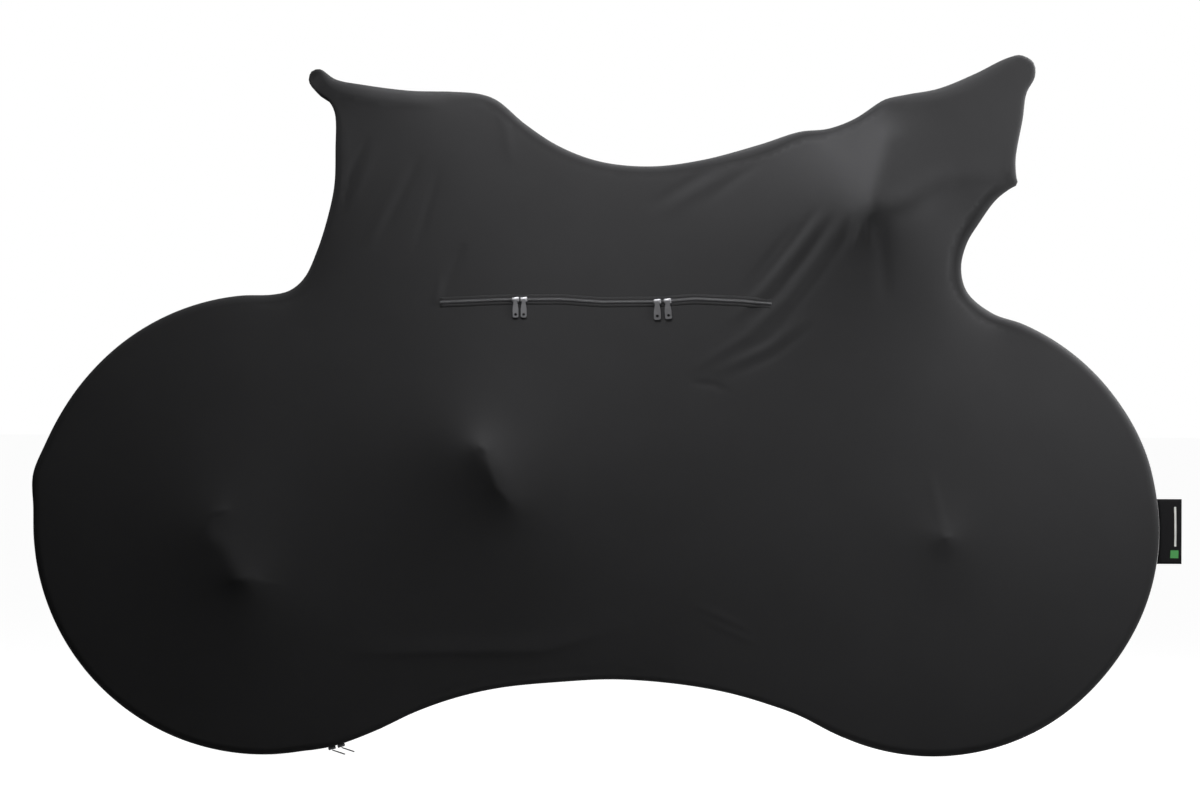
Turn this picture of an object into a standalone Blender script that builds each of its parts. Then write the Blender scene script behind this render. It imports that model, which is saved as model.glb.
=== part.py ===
"""Fitted stretch cover for a drop-bar bicycle, in the shape it takes when it is pulled over one.

Two knitted side panels meet in one seam round the whole silhouette: over the tyres, along the belly
between the wheels, up behind the saddle, along the ridge to the stem, and round the handlebar.
Each panel is a thin open shell. Its rim turns from the seam to the side face, narrow over the tyres
and wide over the saddle and the bar, and its side face is a taut membrane over the points that push
it out: bar, drops, pedal, gear and axle. A zip with four sliders crosses the near panel, a second
zip closes the belly, and a folded woven loop is sewn to the front edge.

X runs forward and Z up. Tables are in millimetres, from the rear axle and the ground. The finished
pieces hang on an empty that brings the point under the saddle's top to the origin.
"""

import math

import bmesh
import bpy
import numpy as np
from mathutils import Matrix, Vector
from mathutils.geometry import delaunay_2d_cdt

MM = 0.001

# Driving sizes
WHEELBASE = 992.0
REAR_RADIUS = 340.5
FRONT_RADIUS = 333.7
TYRE_WIDTH = 28.0
CLOTH = 1.6
SEAM_GAP = 0.3
HOLD_POINT = (217.0, 0.0, 978.0)

# Mesh sizes
OUTLINE_STEP = 4.0
STATION_STEP = 39.0
STATION_TURN = math.radians(30.0)
FIELD_STEP = 10.0
POINT_STEP = 43.0
FINE_STEP = 25.0
FINE_ZONE = ((770.0, 690.0), (1120.0, 1020.0))
RIM_STRIPS = 4

# Zips
ZIP_HALF_WIDTH = 4.0
ZIP_PROUD = 0.5
ZIP_THICK = 2.4
UNDER_ZIP = (70.0, 860.0)
SLIDER_SIZE = (11.0, 7.8, 4.4)
PULL_LENGTH = 27.0
PULL_THICK = 1.4
PULL_HOLE = 2.0
PULL_LEAN = math.radians(6.0)
UNDER_PULL_LENGTH = 20.0
UNDER_PULL_DROP = math.radians(18.0)

# Woven loop on the front edge
LABEL_LOW = 286.0
LABEL_HIGH = 382.0
LABEL_REACH = 1359.0
LABEL_LAYER = 0.9
LABEL_SPACE = 0.9

# Rim: the silhouette clockwise from the near side. Half width is the reach of the rim at that place and
# corner the radius where it turns into the side face. Sag is how far the seam hangs in between the
# corners, and negative where the seam is the crest of a ridge and the cloth falls away beside it.
#   name, x, z, half width, corner, sag
RIM_REAR_TO_FRONT = (
    ("neck low", 38, 687, 16, 14, 0),
    ("neck", 60, 706, 19, 14, 0),
    ("rise low", 79, 746, 26, 13, 2),
    ("rise", 95, 795, 36, 12, 5),
    ("drop low", 105, 841, 46, 12, 8),
    ("drop mid", 107, 893, 55, 12, 9),
    ("drop top", 106, 948, 61, 10, 5),
    ("tail under", 96, 966, 60, 8, 1),
    ("tail under back", 79, 978, 52, 7, 0),
    ("tail tip", 67, 995, 40, 7, 0),
    ("tail lip", 71, 1009, 42, 6, 0),
    ("tail lip top", 84, 1012, 50, 6, 0),
    ("seat back", 107, 997, 63, 9, 0),
    ("seat wide", 147, 989, 70, 12, 0),
    ("seat mid", 217, 981, 58, 12, 0),
    ("seat front", 275, 981, 35, 12, 0),
    ("saddle nose", 319, 978, 21, 12, 0),
    ("nose end", 344, 969, 17, 12, 0),
    ("ridge fall", 386, 934, 15, 12, 0),
    ("ridge fall low", 437, 901, 15, 12, 0),
    ("ridge low rear", 497, 879, 15, 12, 0),
    ("ridge low", 570, 872, 16, 12, 0),
    ("ridge low front", 644, 881, 18, 13, 0),
    ("ridge rise", 733, 905, 23, 15, -2),
    ("stem back", 792, 924, 29, 16, -3),
    ("stem top", 833, 928, 50, 20, -6),
    ("stem front", 868, 940, 98, 24, -7),
    ("bar", 908, 963, 160, 24, 0),
    ("bar front", 940, 970, 186, 24, 3),
    ("ramp", 985, 978, 203, 22, 7),
    ("hood rise", 1037, 999, 208, 20, 9),
    ("hood top", 1084, 1022, 210, 15, 8),
    ("hood tip top", 1104, 1026, 210, 11, 6),
    ("hood tip", 1122, 1015, 209, 9, 5),
    ("hood front", 1124, 995, 209, 9, 7),
    ("lever top", 1112, 971, 208, 10, 13),
    ("lever bend", 1107, 935, 206, 10, 16),
    ("lever face", 1097, 877, 203, 9, 10),
    ("lever low", 1098, 852, 200, 8, 5),
    ("lever tip", 1100, 840, 196, 7, 3),
    ("lever under", 1089, 833, 190, 8, 4),
    ("front fall top", 1071, 818, 175, 14, 10),
    ("front fall", 1049, 785, 138, 16, 12),
    ("front fall low", 1034, 757, 103, 15, 8),
    ("waist", 1028, 722, 68, 14, 4),
    ("waist low", 1039, 687, 38, 14, 1),
)
RIM_FRONT_TO_REAR = (
    ("heel", 794, 60, 15, 11, 0),
    ("belly front", 750, 76, 15, 11, 0),
    ("belly front mid", 691, 93, 15, 11, 0),
    ("belly mid front", 617, 106, 15, 11, 0),
    ("belly top", 521, 113, 15, 11, 0),
    ("belly mid rear", 440, 109, 15, 11, 0),
    ("belly rear", 351, 100, 15, 11, 0),
    ("belly rear low", 285, 85, 15, 11, 0),
    ("toe high", 226, 64, 15, 11, 0),
    ("toe", 167, 36, 15, 11, 0),
    ("toe low", 108, 14, 15, 12, 0),
)
# Wheel arcs: centre x, radius, first angle, last angle, and the places where the cloth leaves the circle.
#   angle, amount, spread
REAR_ARC = (0.0, REAR_RADIUS, 280.0, 88.0, ((166.5, 9.0, 6.5), (152.0, 1.5, 8.0)))
FRONT_ARC = (WHEELBASE, FRONT_RADIUS, 75.0, -116.0, ((-38.0, -2.4, 18.0), (22.0, 1.2, 7.0)))
ARC_STEP = 8.0

# Lines that hold the side face out, each like a rod of that radius under the cloth.
#   name, side, radius, points as (x, z, half width)
HOLD_LINES = (
    ("bar end", "both", 15, ((922, 905, 198), (918, 880, 203), (908, 848, 209), (899, 826, 213), (900, 812, 214))),
    ("drop", "both", 15, ((900, 812, 215), (918, 810, 214), (946, 819, 213), (974, 840, 210), (1000, 852, 208))),
    ("lever", "both", 12, ((1000, 851, 208), (1032, 852, 205), (1062, 852, 202))),
    ("pedal", "near", 20, ((320, 455, 130), (334, 434, 128), (350, 402, 118), (364, 382, 108))),
    ("far pedal", "far", 20, ((442, 206, 98), (460, 188, 100), (474, 174, 93))),
    ("gear", "near", 12, ((-56, 363, 62), (-76, 336, 64), (-70, 315, 66), (-51, 305, 70), (-37, 268, 74), (-16, 261, 74))),
    ("rear axle", "far", 14, ((-6, 340, 62), (6, 340, 62))),
    ("front axle", "both", 14, ((1000, 327, 58), (1008, 323, 58))),
)

# Folds: ridges stand out by a positive height and troughs lie in by a negative one.
#   name, side, height, half width, points as (x, z)
FOLDS = (
    ("seat fold rear", "both", -7, 15, ((153, 903), (128, 850), (108, 805))),
    ("seat fold mid", "both", -8, 20, ((231, 874), (196, 812), (168, 755))),
    ("seat fold front", "both", -6, 17, ((257, 855), (240, 795), (226, 748))),
    ("bar fold ridge", "both", 9, 17, ((815, 790), (733, 683), (683, 637))),
    ("bar fold trough", "both", -9, 15, ((803, 768), (742, 686), (700, 640))),
    ("long fold ridge", "both", 9, 19, ((832, 775), (793, 712), (758, 668), (703, 614), (622, 566))),
    ("bar fold rear", "both", -6, 18, ((762, 768), (710, 688))),
    ("low fold trough", "both", -6, 18, ((786, 652), (745, 616), (711, 597))),
    ("zip end crease", "near", -5, 12, ((264, 671), (280, 705), (298, 748))),
    ("end spike front", "both", 5, 9, ((880, 795), (884, 752))),
    ("end spike rear", "both", 4, 9, ((873, 788), (862, 745))),
    ("axle crease", "both", 3, 12, ((990, 412), (1002, 335))),
    ("belly crease", "near", -3, 10, ((60, 152), (230, 152), (410, 153), (470, 172))),
)

# Side zip: the wavy line of its middle, and its sliders.
#   x, z
SIDE_ZIP_LINE = ((262, 669), (350, 673), (439, 674), (500, 670), (585, 671), (636, 675), (702, 672), (749, 668))
#   name, x, pull width
SIDE_SLIDERS = (("1", 373.0, 8.6), ("2", 384.4, 8.6), ("3", 582.0, 10.0), ("4", 596.4, 10.0))
#   name, x along the belly
UNDER_SLIDERS = (("1", 100.0), ("2", 113.0))

# Colours: base colour, metallic, roughness
KNIT = ("black_knit", (0.022, 0.022, 0.024), 0.0, 0.86)
TAPE = ("zip_tape", (0.03, 0.03, 0.032), 0.0, 0.7)
METAL = ("gunmetal", (0.2, 0.2, 0.21), 0.9, 0.42)
WOVEN = ("woven_loop", (0.018, 0.018, 0.02), 0.0, 0.75)


def clear_scene():
    for item in list(bpy.data.objects):
        bpy.data.objects.remove(item, do_unlink=True)


def material(look):
    """The Principled material of one look, made once."""
    name, colour, metallic, roughness = look
    found = bpy.data.materials.get(name)
    if found:
        return found
    made = bpy.data.materials.new(name)
    made.use_nodes = True
    shader = made.node_tree.nodes["Principled BSDF"]
    shader.inputs["Base Color"].default_value = (*colour, 1.0)
    shader.inputs["Metallic"].default_value = metallic
    shader.inputs["Roughness"].default_value = roughness
    return made


def add_piece(name, bm, look, parent):
    """Scale a bmesh from millimetres, smooth it and hang it on the parent."""
    bmesh.ops.recalc_face_normals(bm, faces=bm.faces)
    bmesh.ops.scale(bm, vec=(MM, MM, MM), verts=bm.verts)
    mesh = bpy.data.meshes.new(name)
    bm.to_mesh(mesh)
    bm.free()
    mesh.materials.append(material(look))
    mesh.shade_smooth()
    mesh.set_sharp_from_angle(angle=math.radians(50))
    piece = bpy.data.objects.new(name, mesh)
    bpy.context.scene.collection.objects.link(piece)
    piece.parent = parent
    return piece


# ---- The silhouette and its rim


def wheel_stations(arc):
    """Stations on one tyre, as (x, z, half width, corner, sag)."""
    centre_x, radius, first, last, leaves = arc
    count = round(abs(last - first) / ARC_STEP)
    stations = []
    for index in range(count + 1):
        angle = first + (last - first) * index / count
        reach = radius + sum(amount * math.exp(-(((angle - at) / spread) ** 2)) for at, amount, spread in leaves)
        turned = math.radians(angle)
        half = TYRE_WIDTH / 2
        stations.append((centre_x + reach * math.cos(turned), radius + reach * math.sin(turned), half, half, 0.0))
    return stations


def dense_outline():
    """The closed silhouette as rows of x, z, half width, corner and sag, a few millimetres apart."""
    rows = wheel_stations(REAR_ARC)
    rows += [row[1:] for row in RIM_REAR_TO_FRONT]
    rows += wheel_stations(FRONT_ARC)
    rows += [row[1:] for row in RIM_FRONT_TO_REAR]
    knots = np.array(rows, float)
    dense = []
    for index in range(len(knots)):
        before, start, end, after = (knots[(index + k) % len(knots)] for k in (-1, 0, 1, 2))
        dense.extend(curve_between(before, start, end, after))
    dense = np.array(dense)
    dense[:, 3] = np.minimum(dense[:, 3], dense[:, 2])
    return dense


def curve_between(before, start, end, after):
    """Centripetal Catmull-Rom points from start up to end, without end."""
    gaps = [max(np.linalg.norm(q[:2] - p[:2]), 1e-6) ** 0.5 for p, q in ((before, start), (start, end), (end, after))]
    leave = (start - before) / gaps[0] - (end - before) / (gaps[0] + gaps[1]) + (end - start) / gaps[1]
    arrive = (end - start) / gaps[1] - (after - start) / (gaps[1] + gaps[2]) + (after - end) / gaps[2]
    leave, arrive = leave * gaps[1], arrive * gaps[1]
    count = max(1, round(np.linalg.norm(end[:2] - start[:2]) / OUTLINE_STEP))
    points = []
    for index in range(count):
        t = index / count
        blend = (2 * t**3 - 3 * t**2 + 1, t**3 - 2 * t**2 + t, 3 * t**2 - 2 * t**3, t**3 - t**2)
        points.append(blend[0] * start + blend[1] * leave + blend[2] * end + blend[3] * arrive)
    return points


def inward_normals(dense):
    """Unit vectors in x and z that point into the silhouette, evened out along the rim."""
    ahead = np.roll(dense[:, :2], -1, axis=0) - np.roll(dense[:, :2], 1, axis=0)
    normals = np.stack([ahead[:, 1], -ahead[:, 0]], axis=1)
    normals /= np.linalg.norm(normals, axis=1)[:, None]
    for _ in range(3):
        normals = normals + np.roll(normals, 1, axis=0) + np.roll(normals, -1, axis=0)
        normals /= np.linalg.norm(normals, axis=1)[:, None]
    return normals


def pick_stations(dense):
    """Indices along the outline, closer where it turns."""
    steps = np.roll(dense[:, :2], -1, axis=0) - dense[:, :2]
    heading = np.unwrap(np.arctan2(steps[:, 1], steps[:, 0]))
    turn = np.abs(np.diff(heading, append=heading[-1:]))
    cost = np.cumsum(np.linalg.norm(steps, axis=1) / STATION_STEP + turn / STATION_TURN)
    count = round(cost[-1])
    return np.searchsorted(cost, np.arange(count) * cost[-1] / count)


def rim_section(half_width, corner, sag):
    """Depth below the silhouette and reach from the seam, ring by ring from the seam to the side face."""
    flat = half_width - corner
    whole = flat + corner * math.pi / 2
    split = max(flat, whole / 2)
    marks = (0.0, split / 2, split, (split + whole) / 2, whole)
    rings = []
    for mark in marks:
        if mark < flat:
            crest = sag if sag > 0 else 0.0
            rings.append((crest - sag * (mark / flat) ** 2, mark))
        else:
            turn = (mark - flat) / corner
            shoulder = max(-sag, 0.0)
            rings.append((shoulder + corner * (1 - math.cos(turn)), flat + corner * math.sin(turn)))
    return rings


def seam_half_gap(x, z):
    """Half the space between the panels: narrow in the seam, wide along the belly zip."""
    low = z < 130 and UNDER_ZIP[0] <= x <= UNDER_ZIP[1]
    return ZIP_HALF_WIDTH if low else SEAM_GAP / 2


# ---- The side face


def inside(points, polygon):
    """True for each point that lies in the closed polygon."""
    x, z = points[:, 0], points[:, 1]
    found = np.zeros(len(points), bool)
    for (x0, z0), (x1, z1) in zip(polygon, np.roll(polygon, -1, axis=0)):
        if z0 == z1:
            continue
        crosses = (z0 > z) != (z1 > z)
        found ^= crosses & (x < (x1 - x0) * (z - z0) / (z1 - z0) + x0)
    return found


def nearest(points, others):
    """Distance to, and index of, the nearest of the others for each point."""
    distance = np.empty(len(points))
    index = np.empty(len(points), int)
    for start in range(0, len(points), 500):
        block = points[start : start + 500]
        squares = ((block[:, None, :] - others[None, :, :]) ** 2).sum(axis=2)
        index[start : start + 500] = squares.argmin(axis=1)
        distance[start : start + 500] = np.sqrt(squares.min(axis=1))
    return distance, index


def walk(points, step):
    """Points along a polyline, evenly spaced, ends included."""
    points = np.array(points, float)
    lengths = np.linalg.norm(np.diff(points[:, :2], axis=0), axis=1)
    travel = np.concatenate([[0.0], np.cumsum(lengths)])
    count = max(1, round(travel[-1] / step))
    marks = np.linspace(0.0, travel[-1], count + 1)
    return np.stack([np.interp(marks, travel, points[:, k]) for k in range(points.shape[1])], axis=1)


class SideFace:
    """Half width of the stretched cloth at any x and z of one side."""

    def __init__(self, dense, side):
        self.side = side
        low = dense[:, :2].min(axis=0) - FIELD_STEP * 2
        high = dense[:, :2].max(axis=0) + FIELD_STEP * 2
        self.low = low
        self.shape = tuple(np.ceil((high - low) / FIELD_STEP).astype(int))
        xs = low[0] + np.arange(self.shape[0]) * FIELD_STEP
        zs = low[1] + np.arange(self.shape[1]) * FIELD_STEP
        nodes = np.stack(np.meshgrid(xs, zs, indexing="ij"), axis=2).reshape(-1, 2)
        distance, index = nearest(nodes, dense[:, :2])
        rim_depth = dense[index, 3] + np.maximum(-dense[index, 4], 0.0)
        free = inside(nodes, dense[:, :2]) & (distance > rim_depth)
        self.height = dense[index, 2].reshape(self.shape)
        self.free = free.reshape(self.shape)
        self.soft = self.free.copy()
        self.held = [(radius, walk(points, 4.0)) for _, where, radius, points in HOLD_LINES if where in (side, "both")]
        for radius, path in self.held:
            reach, near = self.over_rod(nodes, radius, path)
            near = near.reshape(self.shape) & self.free
            self.height[near] = reach.reshape(self.shape)[near]
            self.free[near] = False
        self.stretch()

    @staticmethod
    def over_rod(points, radius, path):
        """Half width of the cloth where it lies on a rod, and the points that do."""
        distance, index = nearest(points, path[:, :2])
        near = distance < radius * 0.8
        fall = radius - np.sqrt(radius**2 - np.where(near, distance, 0.0) ** 2)
        return path[index, 2] - fall, near

    def stretch(self):
        """Pull the free cloth taut between its edge and what holds it out, by over-relaxation."""
        height, free = self.height, self.free
        height[free] = 60.0
        columns, rows = np.indices(self.shape)
        colours = [free & ((columns + rows) % 2 == part) for part in (0, 1)]
        for _ in range(700):
            for colour in colours:
                around = np.roll(height, 1, 0) + np.roll(height, -1, 0) + np.roll(height, 1, 1) + np.roll(height, -1, 1)
                height[colour] += 1.94 * (around[colour] / 4 - height[colour])
        for _ in range(3):
            around = np.roll(height, 1, 0) + np.roll(height, -1, 0) + np.roll(height, 1, 1) + np.roll(height, -1, 1)
            height[self.soft] = (height[self.soft] * 2 + around[self.soft] / 2) / 4

    def taut(self, points):
        """The membrane's half width at each point, between the field's nodes."""
        place = (points - self.low) / FIELD_STEP
        cell = np.clip(np.floor(place).astype(int), 0, np.array(self.shape) - 2)
        part = place - cell
        c, r = cell[:, 0], cell[:, 1]
        u, v = part[:, 0], part[:, 1]
        h = self.height
        lower = h[c, r] * (1 - u) + h[c + 1, r] * u
        upper = h[c, r + 1] * (1 - u) + h[c + 1, r + 1] * u
        return lower * (1 - v) + upper * v

    def half_width(self, points):
        """The taut cloth with its folds."""
        reach = self.taut(points)
        for _, where, height, half, line in FOLDS:
            if where in (self.side, "both"):
                path = walk(line, 4.0)
                distance, index = nearest(points, path)
                along = index / (len(path) - 1)
                ends = np.sqrt(np.clip(np.sin(np.pi * along), 0.0, 1.0))
                reach = reach + height * ends * np.exp(-((distance / half) ** 2))
        return reach

    def features(self):
        """Points that the mesh needs on the lines that hold it and on its folds."""
        points = []
        for _, path in self.held:
            points.extend(walk(path, 22.0)[:, :2])
        for _, where, height, half, line in FOLDS:
            if where in (self.side, "both") and abs(height) >= 4:
                path = walk(line, 26.0)
                ahead = np.gradient(path, axis=0)
                across = np.stack([-ahead[:, 1], ahead[:, 0]], axis=1)
                across /= np.linalg.norm(across, axis=1)[:, None]
                points.extend(path)
                points.extend(path + across * half * 1.3)
                points.extend(path - across * half * 1.3)
        return points


def zip_line():
    """Stations along the side zip's middle."""
    return walk(SIDE_ZIP_LINE, 36.0)


def slot_loop():
    """The slot in the near panel, anticlockwise: its lower edge forward, then its upper edge back."""
    middle = zip_line()
    return np.concatenate([middle - (0.0, ZIP_HALF_WIDTH), (middle + (0.0, ZIP_HALF_WIDTH))[::-1]])


def lattice(low, high, step):
    """An even triangular lattice of points over a rectangle."""
    points = []
    row_step = step * math.sqrt(0.75)
    for row in range(int((high[1] - low[1]) / row_step) + 1):
        shift = step / 2 * (row % 2)
        for column in range(int((high[0] - low[0]) / step) + 1):
            points.append((low[0] + shift + column * step, low[1] + row * row_step))
    return points


def spread_points(rim, wanted, border):
    """Mesh points of the side face: the wanted ones first, then an even triangular lattice between them."""
    kept = np.array(border, float)
    fine = lattice(*FINE_ZONE, FINE_STEP)
    coarse = lattice(rim.min(axis=0), rim.max(axis=0), POINT_STEP)
    groups = ((wanted, 13.0, 12.0), (fine, FINE_STEP * 0.62, 11.0), (coarse, POINT_STEP * 0.62, POINT_STEP * 0.5))
    for group, clearance, edge in groups:
        group = np.array(group, float)
        group = group[inside(group, rim)]
        group = group[nearest(group, border)[0] > edge]
        for point in group:
            if np.hypot(*(kept - point).T).min() > clearance:
                kept = np.vstack([kept, point])
    return kept[len(border) :]


def panel(side, dense, parent):
    """One side panel, from its seam to its side face, as a closed sheet."""
    sign = -1 if side == "near" else 1
    face = SideFace(dense, side)
    normals = inward_normals(dense)
    picked = pick_stations(dense)
    bm = bmesh.new()
    rings = [[] for _ in range(RIM_STRIPS + 1)]
    for index in picked:
        x, z, half_width, corner, sag = dense[index]
        gap = seam_half_gap(x, z)
        for ring, (depth, reach) in zip(rings, rim_section(half_width, corner, sag)):
            across = gap + reach * (half_width - gap) / half_width
            place = dense[index, :2] + normals[index] * depth
            ring.append(bm.verts.new((place[0], sign * across, place[1])))
    count = len(picked)
    for outer, inner in zip(rings, rings[1:]):
        for i in range(count):
            j = (i + 1) % count
            bm.faces.new((outer[i], inner[i], inner[j], outer[j])[::-sign])
    slot = side_face(bm, side, sign, face, rings[-1])
    seam = {vert: Vector((normals[k][0], 0.0, normals[k][1])) for vert, k in zip(rings[0], picked)}
    sections = slot_sections(slot, thicken(bm, seam))
    add_piece(f"side_panel_{side}", bm, KNIT, parent)
    return sections


def side_face(bm, side, sign, face, rim_verts):
    """Fill the rim's inner ring with an even triangle mesh that follows the taut cloth."""
    rim = np.array([(v.co.x, v.co.z) for v in rim_verts])
    slot = slot_loop() if side == "near" else np.empty((0, 2))
    wanted = face.features()
    if side == "near":
        wanted = [*(zip_line() + (0.0, 19.0)), *(zip_line() - (0.0, 19.0)), *wanted]
    border = np.concatenate([rim, slot])
    points = spread_points(rim, wanted, border)
    points = points[~inside(points, slot)]
    flat = np.concatenate([border, points])
    new = flat[len(rim) :]
    reach = face.half_width(new)
    verts = list(rim_verts)
    verts += [bm.verts.new((x, sign * y, z)) for (x, z), y in zip(new, reach)]
    edges = loop_edges(0, len(rim)) + loop_edges(len(rim), len(slot))
    result = delaunay_2d_cdt([Vector(point) for point in flat], edges, [], 0, 1e-4)
    slot_verts = verts[len(rim) : len(border)]
    triangles = np.array([[result[3][k][0] for k in triangle] for triangle in result[2]])
    centres = flat[triangles].mean(axis=1)
    for ids in triangles[inside(centres, rim) & ~inside(centres, slot)]:
        bm.faces.new([verts[k] for k in ids][::-sign])
    return slot_verts


def loop_edges(start, count):
    return [(start + i, start + (i + 1) % count) for i in range(count)]


def thicken(bm, seam):
    """Back the surface with a second layer one cloth's thickness inside. Returns each vertex's twin there.

    The seam maps its vertices to the direction straight in from the silhouette, so both layers meet in it.
    """
    bm.normal_update()
    verts, faces = bm.verts[:], bm.faces[:]
    cut = [edge for edge in bm.edges if edge.is_boundary]
    inward = {vert: seam.get(vert, -vert.normal) for vert in verts}
    backing = bmesh.ops.duplicate(bm, geom=faces)
    twin = {vert: backing["vert_map"][vert] for vert in verts}
    bmesh.ops.reverse_faces(bm, faces=[item for item in backing["geom"] if isinstance(item, bmesh.types.BMFace)])
    for vert, other in twin.items():
        other.co = vert.co + inward[vert] * CLOTH
    for start, end in [edge.verts for edge in cut]:
        bm.faces.new((start, end, twin[end], twin[start]))
    return twin


# ---- Zips


def slot_sections(slot, inner):
    """The slot's cut edges, station by station: lower outer, lower inner, upper inner, upper outer."""
    half = len(slot) // 2
    lower, upper = slot[:half], slot[half:][::-1]
    return [tuple(v.co.copy() for v in (low, inner[low], inner[up], up)) for low, up in zip(lower, upper)]


def strip(name, sections, parent):
    """A closed strip through sections of four corners."""
    bm = bmesh.new()
    loops = [[bm.verts.new(corner) for corner in section] for section in sections]
    for a, b in zip(loops, loops[1:]):
        for i in range(4):
            bm.faces.new((a[i], a[(i + 1) % 4], b[(i + 1) % 4], b[i]))
    bm.faces.new(loops[0])
    bm.faces.new(loops[-1][::-1])
    return add_piece(name, bm, TAPE, parent)


def side_zip(slot, parent):
    """Tape and coil that fill the slot. Returns the middle of its outer face and its outward direction."""
    sections = []
    spine = []
    for lower_out, lower_in, upper_in, upper_out in slot:
        across = (upper_out - lower_out).normalized() * SEAM_GAP
        out = (lower_out + upper_out - lower_in - upper_in).normalized()
        rise, fall = out * ZIP_PROUD, out * (ZIP_PROUD - ZIP_THICK)
        low, high = lower_out + across, upper_out - across
        sections.append((low + rise, low + fall, high + fall, high + rise))
        spine.append(((low + high) / 2 + rise, out))
    for section, step in ((0, 1), (-1, -1)):
        along = Vector((step * SEAM_GAP, 0.0, 0.0))
        sections[section] = tuple(corner + along for corner in sections[section])
    strip("side_zip", sections, parent)
    return spine


def belly_zip(dense, parent):
    """The strip between the panels under the belly. Returns its middle line and its outward direction."""
    normals = inward_normals(dense)
    spine = []
    sections = []
    for index in pick_stations(dense):
        x, z = dense[index, :2]
        if seam_half_gap(x, z) < ZIP_HALF_WIDTH:
            continue
        half = ZIP_HALF_WIDTH - SEAM_GAP
        inward = Vector((normals[index][0], 0.0, normals[index][1]))
        base = Vector((x, 0.0, z)) - inward * ZIP_PROUD
        side = Vector((0.0, half, 0.0))
        deep = inward * ZIP_THICK
        sections.append((base - side, base - side + deep, base + side + deep, base + side))
        spine.append((base, -inward))
    strip("belly_zip", sections, parent)
    return spine[::-1]


def spine_at(spine, x):
    """Point and outward direction of a zip at one x."""
    for (start, out_start), (end, out_end) in zip(spine, spine[1:]):
        if start.x <= x <= end.x:
            t = (x - start.x) / (end.x - start.x)
            return start.lerp(end, t), out_start.lerp(out_end, t).normalized()
    raise ValueError(f"no zip at {x}")


def frame_at(place, along, out):
    """Matrix whose x runs along the zip, z outwards and y across, at a place in millimetres."""
    out = out.normalized()
    along = (along - out * along.dot(out)).normalized()
    across = out.cross(along)
    turned = Matrix((along, across, out)).transposed().to_4x4()
    return Matrix.Translation(place) @ turned


def slider_body(name, frame, parent):
    """The metal body that rides on the coil: narrower at its tail, with rounded edges."""
    long, wide, high = SLIDER_SIZE
    bm = bmesh.new()
    bmesh.ops.create_cube(bm, size=1.0, matrix=Matrix.Diagonal((long, wide, high, 1.0)))
    for vert in bm.verts:
        vert.co.y *= 0.72 if vert.co.x < 0 else 1.0
        vert.co.z += high / 2 + SEAM_GAP
    bmesh.ops.bevel(bm, geom=bm.edges[:], offset=1.1, segments=2, profile=0.5, affect="EDGES", material=-1)
    bmesh.ops.transform(bm, matrix=frame, verts=bm.verts)
    return add_piece(name, bm, METAL, parent)


def rounded_loop(bm, wide, long, corner, steps=3):
    """A rounded rectangle that starts at y = 0 and hangs down to y = -long."""
    verts = []
    for number, (x, y) in enumerate(((1, 0), (-1, 0), (-1, -1), (1, -1))):
        centre = (x * (wide / 2 - corner), -corner if y == 0 else corner - long)
        for step in range(steps + 1):
            turn = math.radians(90 * (number + step / steps))
            verts.append(bm.verts.new((centre[0] + corner * math.cos(turn), centre[1] + corner * math.sin(turn), 0.0)))
    return verts


def pull_tab(name, wide, long, frame, parent):
    """The flat metal pull with its round eye near the free end."""
    bm = bmesh.new()
    rim = rounded_loop(bm, wide, long, wide * 0.3)
    eye_place = Matrix.Translation((0.0, wide * 0.62 - long, 0.0))
    eye = bmesh.ops.create_circle(bm, cap_ends=False, segments=12, radius=PULL_HOLE, matrix=eye_place)["verts"]
    edges = {edge for vert in eye for edge in vert.link_edges}
    edges |= {bm.edges.new((a, b)) for a, b in zip(rim, rim[1:] + rim[:1])}
    bmesh.ops.triangle_fill(bm, edges=list(edges), use_beauty=True)
    made = bmesh.ops.extrude_face_region(bm, geom=bm.faces[:])
    lifted = [item for item in made["geom"] if isinstance(item, bmesh.types.BMVert)]
    bmesh.ops.translate(bm, vec=(0.0, 0.0, PULL_THICK), verts=lifted)
    bmesh.ops.transform(bm, matrix=frame, verts=bm.verts)
    return add_piece(name, bm, METAL, parent)


def side_sliders(spine, parent):
    """Two pairs of sliders, each with its pull hanging down over the cloth."""
    high = SLIDER_SIZE[2] + SEAM_GAP * 2
    for name, x, wide in SIDE_SLIDERS:
        place, out = spine_at(spine, x)
        frame = frame_at(place, Vector((1.0, 0.0, 0.0)), out)
        slider_body(f"side_zip_slider_{name}", frame, parent)
        rest = Matrix.Translation((0.0, 0.0, high + SLIDER_SIZE[1] / 2 * math.sin(PULL_LEAN)))
        pull_tab(f"side_zip_pull_{name}", wide, PULL_LENGTH, frame @ rest @ Matrix.Rotation(PULL_LEAN, 4, "X"), parent)


def belly_sliders(spine, parent):
    """Two sliders at the rear end of the belly zip, their pulls lying forward."""
    for name, x in UNDER_SLIDERS:
        place, out = spine_at(spine, x)
        slider_body(f"belly_zip_slider_{name}", frame_at(place, Vector((1.0, 0.0, 0.0)), out), parent)
        low = place + out * (SLIDER_SIZE[2] + SEAM_GAP * 2)
        down = Vector((-math.sin(UNDER_PULL_DROP), 0.0, -math.cos(UNDER_PULL_DROP)))
        frame = frame_at(low, Vector((0.0, -1.0, 0.0)), down)
        pull_tab(f"belly_zip_pull_{name}", 8.6, UNDER_PULL_LENGTH, frame, parent)


# ---- Woven loop


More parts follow.
